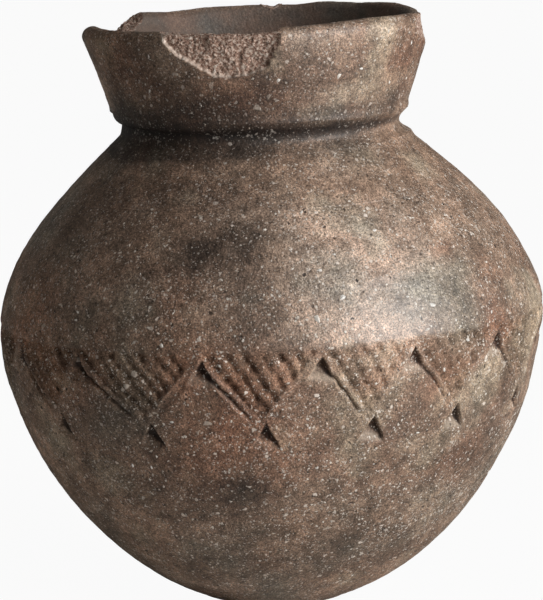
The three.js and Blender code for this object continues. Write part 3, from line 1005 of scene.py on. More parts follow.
    def _wiping(self, stations: Array, azimuth: Array, inside: Array) -> Array:
        """The fine level streaks that a wet hand left, bolder on the inside.

        Args:
            stations: The points' stations.
            azimuth: The points' azimuths.
            inside: 1 where a point lies on the inside.

        Returns:
            How far each point stands out.
        """
        turn = np.radians(azimuth)
        streaks = np.column_stack(
            [
                self.wipes_round * np.sin(turn),
                self.wipes_round * np.cos(turn),
                stations / self.wipe_width + self.wipe_sway * np.sin(3 * turn),
            ]
        )
        height = self.wipe_height + (self.inner_wipe_height - self.wipe_height) * inside
        return self.fine.at(streaks, 1) * height

    def _ledges(self, stations: Array, azimuth: Array) -> Array:
        """The collar foot's thin ledge, the ridge on the shoulder's right and the bead of the left lip.

        Args:
            stations: The points' stations.
            azimuth: The points' azimuths.

        Returns:
            How far each point stands out.
        """
        form = self.form
        right = 0.5 + 0.5 * np.cos(np.radians(azimuth - self.ledge_azimuth))
        ledge = (0.4 + 0.6 * right) * bell(stations - form.to_collar - self.ledge_above, self.ledge_width)
        ridge = bell(wrapped(azimuth - self.side_azimuth) / self.ridge_reach, 1)
        ridge = ridge * bell(stations - form.belly_to_throat + self.ridge_below, self.ridge_width)
        bead = bell(wrapped(azimuth + self.side_azimuth) / self.bead_reach, 1)
        bead = bead * bell(stations - form.length - self.bead_above, self.bead_width)
        return self.ledge_height * ledge + self.ridge_height * ridge + self.bead_height * bead

    def _crease(self, stations: Array, azimuth: Array, width: float) -> Array:
        """How deep in the crease under the collar each point lies, for its soot and painted shade; it opens
        out at the front's right.

        Args:
            stations: The points' stations.
            azimuth: The points' azimuths.
            width: How wide the crease is taken to be.

        Returns:
            1 in its depth, 0 away from it.
        """
        right = np.sin(np.radians(azimuth))
        below = self.form.to_collar - stations - self.throat_tilt * right
        drop = self.foot_height * (0.5 - 0.4 * right)
        open_end = bell(wrapped(azimuth - self.side_azimuth) / self.open_reach, 1)
        return bell((below - drop) / (width * (1 - 0.4 * right)), 1) * (1 - 0.8 * open_end)

    def _tones(self, places: Array, stations: Array, azimuth: Array, inside: Array) -> dict[str, Array]:
        """How strongly each tone shows at each place, and where the skin is burnished, with its sheen and a
        painted highlight.

        Args:
            places: The points, one a row.
            stations: The points' stations.
            azimuth: The points' azimuths.
            inside: 1 where a point lies on the inside.

        Returns:
            The marks by name, each from 0 to 1.
        """
        form = self.form
        tones = {tone.value: np.zeros(len(places)) for tone in Tone}
        # Soot, and painted shade, in the crease under the collar.
        tones[Tone.SOOT_AND_SHADE.value] += self._crease(stations, azimuth, self.crease_soot_and_shade_width)
        # The burnish, and the painted highlight laid with it, gather round the side where the key light's
        # sheen falls.
        sheen_side = bell(wrapped(azimuth - self.sheen_azimuth) / self.sheen_reach, 1)
        border = self.sheen_border + (1 - sheen_side) * self.sheen_fade
        over_band = smooth((stations - form.lower_length - self.sheen_above) / border, 0, 1)
        under_throat = smooth(form.belly_to_throat - stations, *self.throat_shelter)
        rubbed_sheen = over_band * (0.3 + 0.7 * under_throat) * (0.12 + 0.88 * sheen_side) * (1 - inside)
        for patch in self.patches:
            station = form.station_at(np.array([patch.height * MM]))
            radius, height = form.section(station)[0][0]
            turn = math.radians(patch.azimuth)
            away = places - np.array([radius * math.sin(turn), radius * math.cos(turn), height])
            level = away @ np.array([math.cos(turn), -math.sin(turn), 0])
            upright = np.sqrt(np.maximum((away**2).sum(axis=1) - level**2, 0))
            reach = np.hypot(level / (patch.half_width * MM), upright / (patch.half_height * MM))
            tones[patch.tone.value] += patch.strength * bell(reach, self.patch_softness) * (1 - inside)
        return {name: np.clip(value, 0, 1) for name, value in tones.items()} | {"rubbed_sheen": rubbed_sheen}


def add_node(
    tree: bpy.types.NodeTree,
    kind: str,
    inputs: dict | None = None,
    out: str | int | None = None,
    stops: tuple[tuple[float, str], ...] = (),
    **settings: object,
) -> bpy.types.Node | bpy.types.NodeSocket:
    """Adds a node to a material, with its settings and links.

    Args:
        tree: The node tree.
        kind: The node's type, without the ShaderNode that each type's name starts with.
        inputs: What goes into its sockets, by name or number: a value, or another node's output.
        out: The output to give back, by name or number.
        stops: A colour ramp's positions and colours.
        **settings: The node's own settings.

    Returns:
        The output asked for, or else the node.
    """
    node = tree.nodes.new(f"ShaderNode{kind}")
    for name, value in settings.items():
        setattr(node, name, value)
    for key, value in (inputs or {}).items():
        if isinstance(value, bpy.types.NodeSocket):
            tree.links.new(value, node.inputs[key])
        else:
            node.inputs[key].default_value = value
    for number, (position, code) in enumerate(stops):
        elements = node.color_ramp.elements
        stop = elements[number] if number < 2 else elements.new(position)
        stop.position = position
        stop.color = linear(code)
    return node if out is None else node.outputs[out]


def new_material(name: str) -> tuple[bpy.types.Material, bpy.types.NodeTree]:
    """Adds a material that has no nodes yet.

    Args:
        name: What the real material is.

    Returns:
        The material and its node tree.
    """
    material = bpy.data.materials.new(name)
    material.use_nodes = True
    material.node_tree.nodes.clear()
    return material, material.node_tree


# The sockets of a Mix node that mixes colours.
SHARE, FIRST, SECOND, MIXED = 0, 6, 7, 2


@dataclass(frozen=True)
class Grit:
    """One size of the crushed stone in the clay, or of the pores that lost grains left: the width of its
    cells, how far in from a cell's edge it starts, the share of cells that hold it, its colour, and how far
    it stands out or, as a pore, lies in."""

    width: float
    inset: float
    share: float
    colour: str
    height: float


@dataclass(frozen=True)
class CoarseClay:
    """Coarse low-fired earthenware, wiped and left unglazed: matt to faintly satin, mottled by the fire,
    speckled all over, with crushed pale stone showing through its skin."""

    name: str
    slot: str
    # Grey-brown through brown and warm brown to pale brown, as the fire clouded it.
    clouds: tuple[tuple[float, str], ...] = (
        (0.34, "#877a6a"), (0.46, "#927b69"), (0.56, "#9a7e6a"), (0.68, "#a89782"),
    )
    # The inside, greyer because less air reached it in the fire.
    inside: tuple[tuple[float, str], ...] = ((0.38, "#65605b"), (0.5, "#72665e"), (0.64, "#836c60"))
    # A broken face, dark between its crumbs.
    broken: tuple[tuple[float, str], ...] = ((0.36, "#4f3b30"), (0.5, "#b08c79"), (0.64, "#f4e2d2"))
    # Soot, also laid as painted shade in the crease under the collar.
    soot_and_shade: str = "#838588"
    # Pale clay, and painted highlight and reflection.
    pale: str = "#d1cdc8"
    # Lightens the burnished skin where the key light's sheen falls: a painted highlight.
    rubbed_sheen: str = "#eae4df"
    rust: str = "#ffe0d2"
    comb_ground: str = "#ddd2cb"
    # Painted shade in the cuts, grooves, comb pits and the crease under the collar.
    hollow_shade: str = "#635146"
    # A cut's pale bared floor, laid paler on the lit right side as painted light.
    lit_cut_floor: str = "#c3b2a0"
    # How the patterns are turned, so that none of their grids lines up with the jar's axes.
    askew: tuple[float, float, float] = (0.5, 0.35, 0.8)
    cloud_size: float = 26 * MM
    # Each layer of shade: its grain's size, and how dark and how light it makes the clay.
    shades: tuple[tuple[float, float, float], ...] = (
        (22 * MM, 0.86, 1.14), (9 * MM, 0.7, 1.3), (3.5 * MM, 0.7, 1.3), (1.3 * MM, 0.72, 1.28),
        (0.6 * MM, 0.64, 1.36), (0.33 * MM, 0.34, 1.66),
    )
    redder_dark: float = 0.008
    fray_size: float = 4 * MM
    crumb_size: float = 0.6 * MM
    drift_size: float = 13 * MM
    crowd_size: float = 11 * MM
    fewest: float = 0.25
    most: float = 1.8
    grit_bared: float = 1.0
    # How much of the grit still shows on the inside and under soot.
    grit_left: tuple[tuple[str, float], ...] = (("inside", 0.15), ("soot_and_shade", 0.5))
    grain_edge: float = 0.12
    dullest: float = 0.5
    fired_clay_ior: float = 1.55
    smoothest: float = 0.54
    roughest: float = 0.74
    rubbing: float = 0.2
    burnish: float = 0.6
    burnish_roughness: float = 0.33
    speckle_size: float = 0.6 * MM
    speckle_height: float = 1.3
    bump_strength: float = 0.8
    bump_height: float = 0.24 * MM
    grits: tuple[Grit, ...] = (
        Grit(0.8 * MM, 0.07, 0.028, "#33271f", -0.5),
        Grit(0.33 * MM, 0.03, 0.08, "#e8dccf", 0.2),
        Grit(0.55 * MM, 0.04, 0.035, "#fff6ea", 0.3),
        Grit(0.95 * MM, 0.06, 0.014, "#fff0e2", 0.5),
        Grit(1.8 * MM, 0.12, 0.006, "#e2d4c5", 0.8),
    )

    def material(self) -> bpy.types.Material:
        """Builds the clay's material.

        Returns:
            The material.
        """
        material, tree = new_material(self.name)
        place = add_node(tree, "TexCoord", out="Object")
        place = add_node(tree, "Mapping", {"Vector": place, "Rotation": self.askew}, "Vector")
        colour, cloud = self._body(tree, place)
        colour = self._marked(tree, place, colour)
        colour, stone = self._gritted(tree, place, colour)
        noise = {"Vector": place, "Scale": 1 / self.speckle_size, "Detail": 2.0, "Roughness": 0.6}
        speckle = add_node(tree, "TexNoise", noise, "Fac")
        skin = {0: speckle, 1: self.speckle_height, 2: stone}
        skin = add_node(tree, "Math", skin, 0, operation="MULTIPLY_ADD")
        relief = {"Strength": self.bump_strength, "Distance": self.bump_height, "Height": skin}
        bump = add_node(tree, "Bump", relief, "Normal")
        span = {"From Min": 0.3, "From Max": 0.7, "To Min": self.smoothest, "To Max": self.roughest}
        rough = add_node(tree, "MapRange", {"Value": cloud} | span, "Result")
        rubbed_sheen = add_node(tree, "Attribute", out="Fac", attribute_name="rubbed_sheen")
        rough = add_node(tree, "Math", {0: rubbed_sheen, 1: -self.rubbing, 2: rough}, 0, operation="MULTIPLY_ADD")
        for mark in ("broken", "comb"):
            amount = add_node(tree, "Attribute", out="Fac", attribute_name=mark)
            rough = add_node(tree, "Math", {0: rough, 1: amount}, 0, operation="MAXIMUM")
        polish = add_node(tree, "Math", {0: rubbed_sheen, 1: self.burnish}, 0, operation="MULTIPLY")
        sockets = {"Base Color": colour, "Roughness": rough, "Normal": bump, "IOR": self.fired_clay_ior}
        sockets |= {"Coat Weight": polish, "Coat Roughness": self.burnish_roughness}
        surface = add_node(tree, "BsdfPrincipled", sockets, "BSDF")
        add_node(tree, "OutputMaterial", {"Surface": surface})
        return material

    def _body(
        self, tree: bpy.types.NodeTree, place: bpy.types.NodeSocket
    ) -> tuple[bpy.types.NodeSocket, bpy.types.NodeSocket]:
        """The fired clay itself, clouded from grey-brown to warm brown and speckled.

        Args:
            tree: The node tree.
            place: Where each point is.

        Returns:
            The colour, and the clouds that it follows.
        """
        noise = {"Vector": place, "Scale": 1 / self.cloud_size, "Detail": 4.0, "Roughness": 0.5}
        cloud = add_node(tree, "TexNoise", noise, "Fac")
        colour = add_node(tree, "ValToRGB", {"Fac": cloud}, "Color", self.clouds)
        for size, low, high in self.shades:
            noise = {"Vector": place, "Scale": 1 / size, "Detail": 2.0, "Roughness": 0.6}
            shade = add_node(tree, "TexNoise", noise, "Fac")
            shade = add_node(tree, "MapRange", {"Value": shade, "From Min": 0.3, "From Max": 0.7}, "Result")
            dark = (low * (1 + self.redder_dark), low, low * (1 - self.redder_dark), 1)
            both = {SHARE: shade, FIRST: dark, SECOND: (high, high, high, 1)}
            shade = add_node(tree, "Mix", both, MIXED, data_type="RGBA")
            both = {SHARE: 1.0, FIRST: colour, SECOND: shade}
            colour = add_node(tree, "Mix", both, MIXED, data_type="RGBA", blend_type="MULTIPLY")
        return colour, cloud

    def _marked(
        self, tree: bpy.types.NodeTree, place: bpy.types.NodeSocket, colour: bpy.types.NodeSocket
    ) -> bpy.types.NodeSocket:
        """Lays on what the marks say: pale, rust and soot patches, comb stamps, cuts, inside and breaks, and
        the painted highlight, reflection and shade that several of them carry.

        Args:
            tree: The node tree.
            place: Where each point is.
            colour: The clay's colour.

        Returns:
            The colour with its marks.
        """
        noise = {"Vector": place, "Scale": 1 / self.fray_size, "Detail": 7.0, "Roughness": 0.75}
        fray = add_node(tree, "TexNoise", noise, "Fac")
        fray = add_node(tree, "Math", {0: fray, 1: 0.5}, 0, operation="SUBTRACT")
        noise = {"Vector": place, "Scale": 1 / self.crumb_size, "Detail": 4.0, "Roughness": 0.75}
        crumb = add_node(tree, "TexNoise", noise, "Fac")
        noise = {"Vector": place, "Scale": 1 / self.drift_size, "Detail": 6.0, "Roughness": 0.65}
        drift = add_node(tree, "TexNoise", noise, "Fac")
        broken = add_node(tree, "ValToRGB", {"Fac": crumb}, "Color", self.broken)
        inside = add_node(tree, "ValToRGB", {"Fac": drift}, "Color", self.inside)
        # Each mark's name, blend, tone, greatest share and how much its edge frays.
        layers = (
            # Lightens the burnished skin where the sheen falls: a painted highlight over the real burnish.
            ("rubbed_sheen", "DIVIDE", linear(self.rubbed_sheen), 1.0, 0.4),
            # Pale clay, and painted highlight and reflection.
            ("pale", "DIVIDE", linear(self.pale), 1.0, 0.8),
            ("rust", "MULTIPLY", linear(self.rust), 1.0, 1.1),
            ("comb", "MULTIPLY", linear(self.comb_ground), 0.4, 2.2),
            ("inside", "MIX", inside, 0.75, 0.5),
            # Soot, and painted shade in the crease under the collar.
            ("soot_and_shade", "MULTIPLY", linear(self.soot_and_shade), 0.96, 1.1),
            # A cut's pale bared floor, laid paler on the lit right side as painted light.
            ("cut", "MIX", linear(self.lit_cut_floor), 0.5, 2.5),
            # Painted shade in the cuts, grooves, comb pits and the crease under the collar.
            ("hollow", "MULTIPLY", linear(self.hollow_shade), 0.95, 0.4),
            ("broken", "MIX", broken, 1.0, 0.3),
            ("fresh", "MIX", linear(self.broken[-1][1]), 0.5, 4.0),
        )
        for name, blend, tone, most, frayed in layers:
            amount = add_node(tree, "Attribute", out="Fac", attribute_name=name)
            reach = {"Value": amount, "From Max": 0.15, "To Max": frayed}
            there = add_node(tree, "MapRange", reach, "Result")
            share = add_node(tree, "Math", {0: fray, 1: there, 2: amount}, 0, operation="MULTIPLY_ADD")
            span = {"Value": share, "From Min": 0.05, "From Max": 0.95, "To Max": most}
            share = add_node(tree, "MapRange", span, "Result")
            both = {SHARE: share, FIRST: colour, SECOND: tone}
            colour = add_node(tree, "Mix", both, MIXED, data_type="RGBA", blend_type=blend)
        return colour

    def _gritted(
        self, tree: bpy.types.NodeTree, place: bpy.types.NodeSocket, colour: bpy.types.NodeSocket
    ) -> tuple[bpy.types.NodeSocket, bpy.types.NodeSocket]:
        """Scatters crushed stone and the pores of lost grains through the clay.

        Args:
            tree: The node tree.
            place: Where each point is.
            colour: The clay's colour.

        Returns:
            The colour with its grit, and how far the grit stands proud.
        """
        noise = {"Vector": place, "Scale": 1 / self.crowd_size, "Detail": 3.0, "Roughness": 0.6}
        crowd = add_node(tree, "TexNoise", noise, "Fac")
        span = {"From Min": 0.32, "From Max": 0.68, "To Min": self.fewest, "To Max": self.most}
        crowd = add_node(tree, "MapRange", {"Value": crowd} | span, "Result")
        bared, height = self.grit_bared, 0.0
        for cover, left in self.grit_left:
            amount = add_node(tree, "Attribute", out="Fac", attribute_name=cover)
            amount = add_node(tree, "MapRange", {"Value": amount, "To Min": 1.0, "To Max": left}, "Result")
            bared = add_node(tree, "Math", {0: amount, 1: bared}, 0, operation="MULTIPLY")
        for grit in self.grits:
            cells = {"Vector": place, "Scale": 1 / grit.width}
            chances = add_node(tree, "TexVoronoi", cells, "Color")
            chance = add_node(tree, "SeparateColor", {"Color": chances}).outputs
            edge = add_node(tree, "TexVoronoi", cells, "Distance", feature="DISTANCE_TO_EDGE")
            span = {"Value": edge, "From Min": grit.inset, "From Max": grit.inset + self.grain_edge}
            share = add_node(tree, "MapRange", span, "Result")
            likely = add_node(tree, "Math", {0: crowd, 1: grit.share}, 0, operation="MULTIPLY")
            held = add_node(tree, "Math", {0: chance["Red"], 1: likely}, 0, operation="LESS_THAN")
            span = {"Value": chance["Blue"], "To Min": self.dullest, "To Max": 1.0}
            bright = add_node(tree, "MapRange", span, "Result")
            for part in (held, bright, bared):
                share = add_node(tree, "Math", {0: share, 1: part}, 0, operation="MULTIPLY")
            both = {SHARE: share, FIRST: colour, SECOND: linear(grit.colour)}
            colour = add_node(tree, "Mix", both, MIXED, data_type="RGBA")
            proud = {0: share, 1: grit.height, 2: height}
            height = add_node(tree, "Math", proud, 0, operation="MULTIPLY_ADD")
        return colour, height


@dataclass(frozen=True)
class CrushedStone:
    """Crushed quartz and feldspar: off-white to pinkish, hard-edged, with a dull glassy break."""

    name: str = "crushed quartz and feldspar"
    slot: str = "shoulder_clay"
    colours: tuple[tuple[float, str], ...] = (
        (0.0, "#a58f7f"), (0.4, "#cbb9a8"), (0.75, "#e6dacb"), (1.0, "#f4efe8"),
    )
    roughness: float = 0.5
    quartz_ior: float = 1.54
    vein_size: float = 0.5 * MM
    vein_share: float = 0.5
    bump_strength: float = 0.4
    bump_height: float = 0.05 * MM

    def material(self) -> bpy.types.Material:
        """Builds the stone's material, whose shade follows each stone's own share of white.

        Returns:
            The material.
        """
        material, tree = new_material(self.name)
        place = add_node(tree, "TexCoord", out="Object")
        white = add_node(tree, "Attribute", out="Fac", attribute_name="white")
        veins = {"Vector": place, "Scale": 1 / self.vein_size, "Detail": 3.0}
        veins = add_node(tree, "TexNoise", veins, "Fac")
        share = add_node(tree, "Math", {0: veins, 1: self.vein_share, 2: white}, 0, operation="MULTIPLY_ADD")
        share = add_node(tree, "Math", {0: share, 1: self.vein_share / 2}, 0, operation="SUBTRACT")
        colour = add_node(tree, "ValToRGB", {"Fac": share}, "Color", self.colours)
        relief = {"Strength": self.bump_strength, "Distance": self.bump_height, "Height": veins}
        bump = add_node(tree, "Bump", relief, "Normal")
        sockets = {"Base Color": colour, "Normal": bump, "Roughness": self.roughness, "IOR": self.quartz_ior}
        surface = add_node(tree, "BsdfPrincipled", sockets, "BSDF")
        add_node(tree, "OutputMaterial", {"Surface": surface})
        return material


@dataclass
class PaleStones:
    """The largest crumbs of crushed stone, bared where the skin was wiped.

    The seen ones give azimuth, height and width in millimetres; the rest are strewn over the whole jar.
    """

    seen: tuple[tuple[float, float, float], ...] = (
        (30, 80, 1.2), (30.5, 78.5, 0.9), (36, 76, 1.8), (33.5, 71, 1.4), (44, 67, 1.4), (41, 72, 0.9),
        (52, 72, 1.0), (33, 47, 1.2), (22, 60, 0.9), (40, 55, 1.1), (52, 53, 1.1), (0, 95, 1.2),
        (10, 98, 1.6), (12, 86, 1.8), (16, 89, 1.4), (16, 80, 1.9), (10, 76, 2.2), (28, 93, 1.1),
        (10, 41, 1.3), (-26, 44, 1.2), (-33, 41, 1.8), (-28, 41, 1.5), (-10, 33, 0.9), (13, 27, 1.0),
        (-44, 77, 1.4), (-44, 75.3, 1.2), (-22, 71, 1.4), (-20, 78, 1.0), (-21, 53, 1.3),
        (-10, 66.5, 1.2), (8, 51, 0.9), (-38, 133, 1.0), (-42, 125, 1.5), (48, 136, 1.3), (29, 127, 1.5),
        (38, 128, 1.1), (7, 127, 1.3), (64, 132, 1.2), (54, 124, 1.0),
    )
    strewn: int = 150
    lowest: float = 8 * MM
    highest: float = 132 * MM
    smallest: float = 0.55 * MM
    largest: float = 1.4 * MM
    # The higher, the fewer of the strewn ones are large.
    scarcity: float = 2.5
    proud: float = 0.16
    angular: float = 0.16
    lengths: tuple[float, float] = (0.85, 1.1)
    breadths: tuple[float, float] = (0.6, 0.85)
    thicknesses: tuple[float, float] = (0.45, 0.7)
    seen_white: float = 0.85
    strewn_white: float = 0.25
    whitest: float = 1.1
    seed: int = 21

    def build(self, potter: Potter) -> None:
        """Beds the stones in the skin as one piece.

        Args:
            potter: Who knows the jar's skin.
        """
        form, random = potter.surface.form, np.random.default_rng(self.seed)
        azimuth, height, width = np.transpose(self.seen)
        azimuth = np.concatenate([azimuth, random.uniform(-180, 180, self.strewn)])
        height = np.concatenate([height * MM, random.uniform(self.lowest, self.highest, self.strewn)])
        spread = self.smallest + (self.largest - self.smallest) * random.random(self.strewn) ** self.scarcity
        width = np.concatenate([width * MM, spread])
        stations = form.station_at(height)
        here = potter.surface.shaped(stations, azimuth)[0]
        above = potter.surface.shaped(stations + 1 * MM, azimuth)[0]
        beside = potter.surface.shaped(stations, azimuth + 1)[0]
        out = np.cross(beside - here, above - here)
        out /= np.linalg.norm(out, axis=1)[:, None]
        first = self._first_stone(potter.surface.breaks)
        stones = []
        for place, way, size in zip(here, out, width):
            stone = first.copy()
            stone.data = first.data.copy()
            bpy.context.collection.objects.link(stone)
            flat = random.uniform(*self.thicknesses)
            long, broad = random.uniform(*self.lengths), random.uniform(*self.breadths)
            stone.scale = size * np.array([long, broad, flat])
            stone.rotation_euler = Vector(way).to_track_quat("Z", "Y").to_euler()
            stone.rotation_euler.rotate_axis("Z", random.uniform(0, 2 * math.pi))
            stone.location = place - way * size * (flat / 2 - self.proud)
            white = stone.data.attributes.new("white", "FLOAT", "POINT")
            least = self.seen_white if len(stones) < len(self.seen) else self.strewn_white
            share = random.uniform(least, self.whitest)
            white.data.foreach_set("value", np.full(len(white.data), share))
            stone.select_set(True)
            stones.append(stone)
        bpy.data.objects.remove(first)
        bpy.context.view_layer.objects.active = stones[0]
        bpy.ops.object.join()
        bpy.ops.object.transform_apply(location=True, rotation=True, scale=True)
        piece = bpy.context.object
        piece.name = piece.data.name = "pale_stones"
        finish = CrushedStone()
        piece.data.materials.append(finish.material())
        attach(piece, "root")
        log.info("%s: %d stones", piece.name, len(stones))

    def _first_stone(self, noise: ClayNoise) -> bpy.types.Object:
        """A round stone one metre across, knocked into an angular crumb; the others are copies of it.

        Args:
            noise: What knocks it into shape.

        Returns:
            The stone.
        """
        bpy.ops.object.select_all(action="DESELECT")
        bpy.ops.mesh.primitive_ico_sphere_add(subdivisions=1, radius=0.5)
        stone = bpy.context.object
        places = np.empty(3 * len(stone.data.vertices), np.float32)
        stone.data.vertices.foreach_get("co", places)
        places = places.reshape(-1, 3).astype(float)
        shove = [noise.at(places + shift, 0.4) for shift in (0, 5, 10)]
        places += self.angular * np.column_stack(shove)
        stone.data.vertices.foreach_set("co", places.astype(np.float32).ravel())
        bpy.ops.object.select_all(action="DESELECT")
        return stone


@dataclass(frozen=True)
class Fineness:
    """How finely a coil is turned: its columns round the jar, and its rows' height outside and inside."""

    columns: int
    row: float
    inner_row: float


class Potter:
    """Turns sections into coils of clay, works them over and gives them to the frame."""

    # How near two points are one, in metres, and the angle from which an edge is sharp, in degrees.
    WELD = 1e-6
    SHARP = 58

    def __init__(self, surface: ClaySurface) -> None:
        """Keeps the surface, and makes the four finishes.

        Args:
            surface: The worked skin of the jar.
        """
        self.surface = surface
        finishes = (
            CoarseClay("coarse earthenware, wiped wall", "wall_clay"),
            CoarseClay("coarse earthenware, rubbed shoulder", "shoulder_clay"),
            CoarseClay("coarse earthenware, smoke-blackened", "soot_clay", grit_bared=0.75),
            CoarseClay("coarse earthenware, wiped collar", "collar_clay", grit_bared=0.75),
        )
        self._materials = {finish.slot: finish.material() for finish in finishes}

    def stations(self, low: float, high: float, step: float) -> Array:
        """Evenly spaced stations from low to high, both included."""
        return np.linspace(low, high, max(2, round(abs(high - low) / step) + 1))

    def turn(self, node: str, slot: str, stations: Array, fineness: Fineness) -> None:
        """Turns a closed section into a coil and dresses it.

        Args:
            node: The frame's node that the coil stands for.
            slot: The record's material slot.
            stations: The stations of the section's corners, in order round it.
            fineness: How finely the coil is turned.
        """
        bpy.ops.object.select_all(action="DESELECT")
        bpy.ops.mesh.primitive_circle_add(vertices=len(stations), radius=self.surface.form.belly_radius)
        coil = bpy.context.object
        coil.name = coil.data.name = f"{node}_clay"
        points = self.surface.form.section(stations)[0]
        corners = np.column_stack([points[:, 0], np.zeros(len(points)), points[:, 1]])
        coil.data.vertices.foreach_set("co", corners.astype(np.float32).ravel())
        kept = coil.data.attributes.new("station", "FLOAT", "POINT")
        kept.data.foreach_set("value", stations.astype(np.float32))
        turning = coil.modifiers.new("turning", "SCREW")
        turning.steps = turning.render_steps = fineness.columns
        turning.use_merge_vertices = True
        turning.merge_threshold = self.WELD
        bpy.ops.object.modifier_apply(modifier=turning.name)
        bpy.ops.object.mode_set(mode="EDIT")
        bpy.ops.mesh.select_all(action="SELECT")
        bpy.ops.mesh.remove_doubles(threshold=self.WELD)
        bpy.ops.mesh.delete_loose(use_verts=True, use_edges=True, use_faces=False)
        bpy.ops.mesh.select_all(action="SELECT")
        bpy.ops.mesh.normals_make_consistent(inside=False)
        bpy.ops.object.mode_set(mode="OBJECT")
        self._work_over(coil.data)
        bpy.ops.object.shade_smooth_by_angle(angle=math.radians(self.SHARP))
        coil.data.materials.clear()
        coil.data.materials.append(self._materials[slot])
        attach(coil, "root")
        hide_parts(node)
        log.info("%s: %d faces", coil.name, len(coil.data.polygons))

    def _work_over(self, mesh: bpy.types.Mesh) -> None:
        """Moves a turned mesh's points to where the worked clay has them, and keeps their marks.

        Args:
            mesh: The turned mesh, with each point's station.
        """
        count = len(mesh.vertices)
        places = np.empty(count * 3, np.float32)
        stations = np.empty(count, np.float32)
        mesh.vertices.foreach_get("co", places)
        mesh.attributes["station"].data.foreach_get("value", stations)
        places = places.reshape(-1, 3).astype(float)
        azimuth = np.degrees(np.arctan2(places[:, 0], -places[:, 1]))
        placed, marks = self.surface.shaped(stations.astype(float), azimuth)
        mesh.vertices.foreach_set("co", placed.astype(np.float32).ravel())
        for name, values in marks.items():
            mark = mesh.attributes.new(name, "FLOAT", "POINT")
            mark.data.foreach_set("value", values.astype(np.float32))
        mesh.attributes.remove(mesh.attributes["station"])
        mesh.update()

    def coil(self, node: str, slot: str, low: float, high: float, fineness: Fineness) -> None:
        """A coil between two seams, whose inner edges lie lower than its outer ones.

        Args:
            node: The frame's node that it stands for.
            slot: The record's material slot.
            low: The lower seam's outer station.
            high: The upper seam's outer station.
            fineness: How finely it is turned.
        """
        form = self.surface.form
        up = self.stations(low, high, fineness.row)
        inner = [form.opposite(high - form.seam_bevel), form.opposite(low - form.seam_bevel)]
        down = self.stations(*inner, fineness.inner_row)
        self.turn(node, slot, np.concatenate([up, down]), fineness)


@dataclass
class Base:
    """The pad that the jar stands on, with the first of the wall drawn up from its edge."""

    fineness: Fineness = Fineness(420, 0.7 * MM, 1.2 * MM)

    def build(self, potter: Potter) -> None:
        """Turns the pad.

        Args:
            potter: Who turns the coils.
        """
        form = potter.surface.form
        under = potter.stations(form.first_station, 0, self.fineness.inner_row)
        heel = potter.stations(0, form.heel_width, self.fineness.row)
        floor = potter.stations(
            form.opposite(form.heel_width - form.seam_bevel), form.last_station, self.fineness.inner_row
        )
        potter.turn("base_disc", "wall_clay", np.concatenate([under, heel[1:], floor]), self.fineness)


@dataclass
class LowerWall:
    """The coils from the heel up to the belly."""

    coils: int = 3
    fineness: Fineness = Fineness(760, 0.58 * MM, 2.2 * MM)

    def build(self, potter: Potter, low: float, high: float) -> None:
        """Turns the coils between the heel's seam and the belly band's.

        Args:
            potter: Who turns the coils.
            low: The lowest seam's station.
            high: The highest seam's station.
        """
        seams = np.linspace(low, high, self.coils + 1)
        for coil in range(self.coils):
            potter.coil(f"lower_coil_{coil + 1}", "wall_clay", seams[coil], seams[coil + 1], self.fineness)


@dataclass
class BellyBand:
    """The coil at the widest part, which carries the cut and stamped zigzag."""

    below_belly: float = 21 * MM
    above_belly: float = 4.6 * MM
    fineness: Fineness = Fineness(1180, 0.36 * MM, 3 * MM)

    def seams(self, form: WallForm) -> tuple[float, float]:
        """The stations of the band's two seams."""
        return form.lower_length - self.below_belly, form.lower_length + self.above_belly

    def build(self, potter: Potter) -> None:
        """Turns the band."""
        low, high = self.seams(potter.surface.form)
        potter.coil("belly_band", "wall_clay", low, high, self.fineness)


@dataclass
class Shoulder:
    """The coils from the belly band in to the throat."""

    coils: int = 3
    fineness: Fineness = Fineness(840, 0.5 * MM, 2 * MM)

    def build(self, potter: Potter, low: float, high: float) -> None:
        """Turns the coils between the belly band's seam and the throat's; smoke blackened the last.

        Args:
            potter: Who turns the coils.
            low: The lowest seam's station.
            high: The highest seam's station.
        """
        seams = np.linspace(low, high, self.coils + 1)
        for coil in range(self.coils):
            slot = "soot_clay" if coil == self.coils - 1 else "shoulder_clay"
            potter.coil(f"upper_coil_{coil + 1}", slot, seams[coil], seams[coil + 1], self.fineness)


@dataclass
class Collar:
    """The throat coil, the flared strap on it, and the rim coil with its lip."""

    throat_below: float = 4.2 * MM
    throat_above: float = 4.4 * MM
    rim_width: float = 12.5 * MM
    throat_fineness: Fineness = Fineness(720, 0.34 * MM, 1.5 * MM)
    strap_fineness: Fineness = Fineness(800, 0.38 * MM, 0.9 * MM)
    rim_fineness: Fineness = Fineness(1040, 0.3 * MM, 0.45 * MM)

    def seams(self, form: WallForm) -> tuple[float, float, float]:
        """The stations of the throat coil's two seams and of the rim coil's.

        Args:
            form: The jar's form.

        Returns:
            The three stations, from the lowest up.
        """
        throat = float(form.station_at(np.array([form.throat_height]))[0])
        rim = form.length + form.collar_wall / 2 - self.rim_width
        return throat - self.throat_below, throat + self.throat_above, rim

    def build(self, potter: Potter) -> None:
        """Turns the throat coil, the strap and the rim coil.

        Args:
            potter: Who turns the coils.
        """
        form = potter.surface.form
        throat_low, throat_high, rim = self.seams(form)
        potter.coil("throat_coil", "soot_clay", throat_low, throat_high, self.throat_fineness)
        potter.coil("collar_strap", "collar_clay", throat_high, rim, self.strap_fineness)
        outer = potter.stations(rim, form.length + form.lip_length, self.rim_fineness.row)
        inner = potter.stations(
            form.length + form.lip_length, form.opposite(rim - form.seam_bevel), self.rim_fineness.inner_row
        )
        potter.turn("rim_coil", "collar_clay", np.concatenate([outer, inner[1:]]), self.rim_fineness)


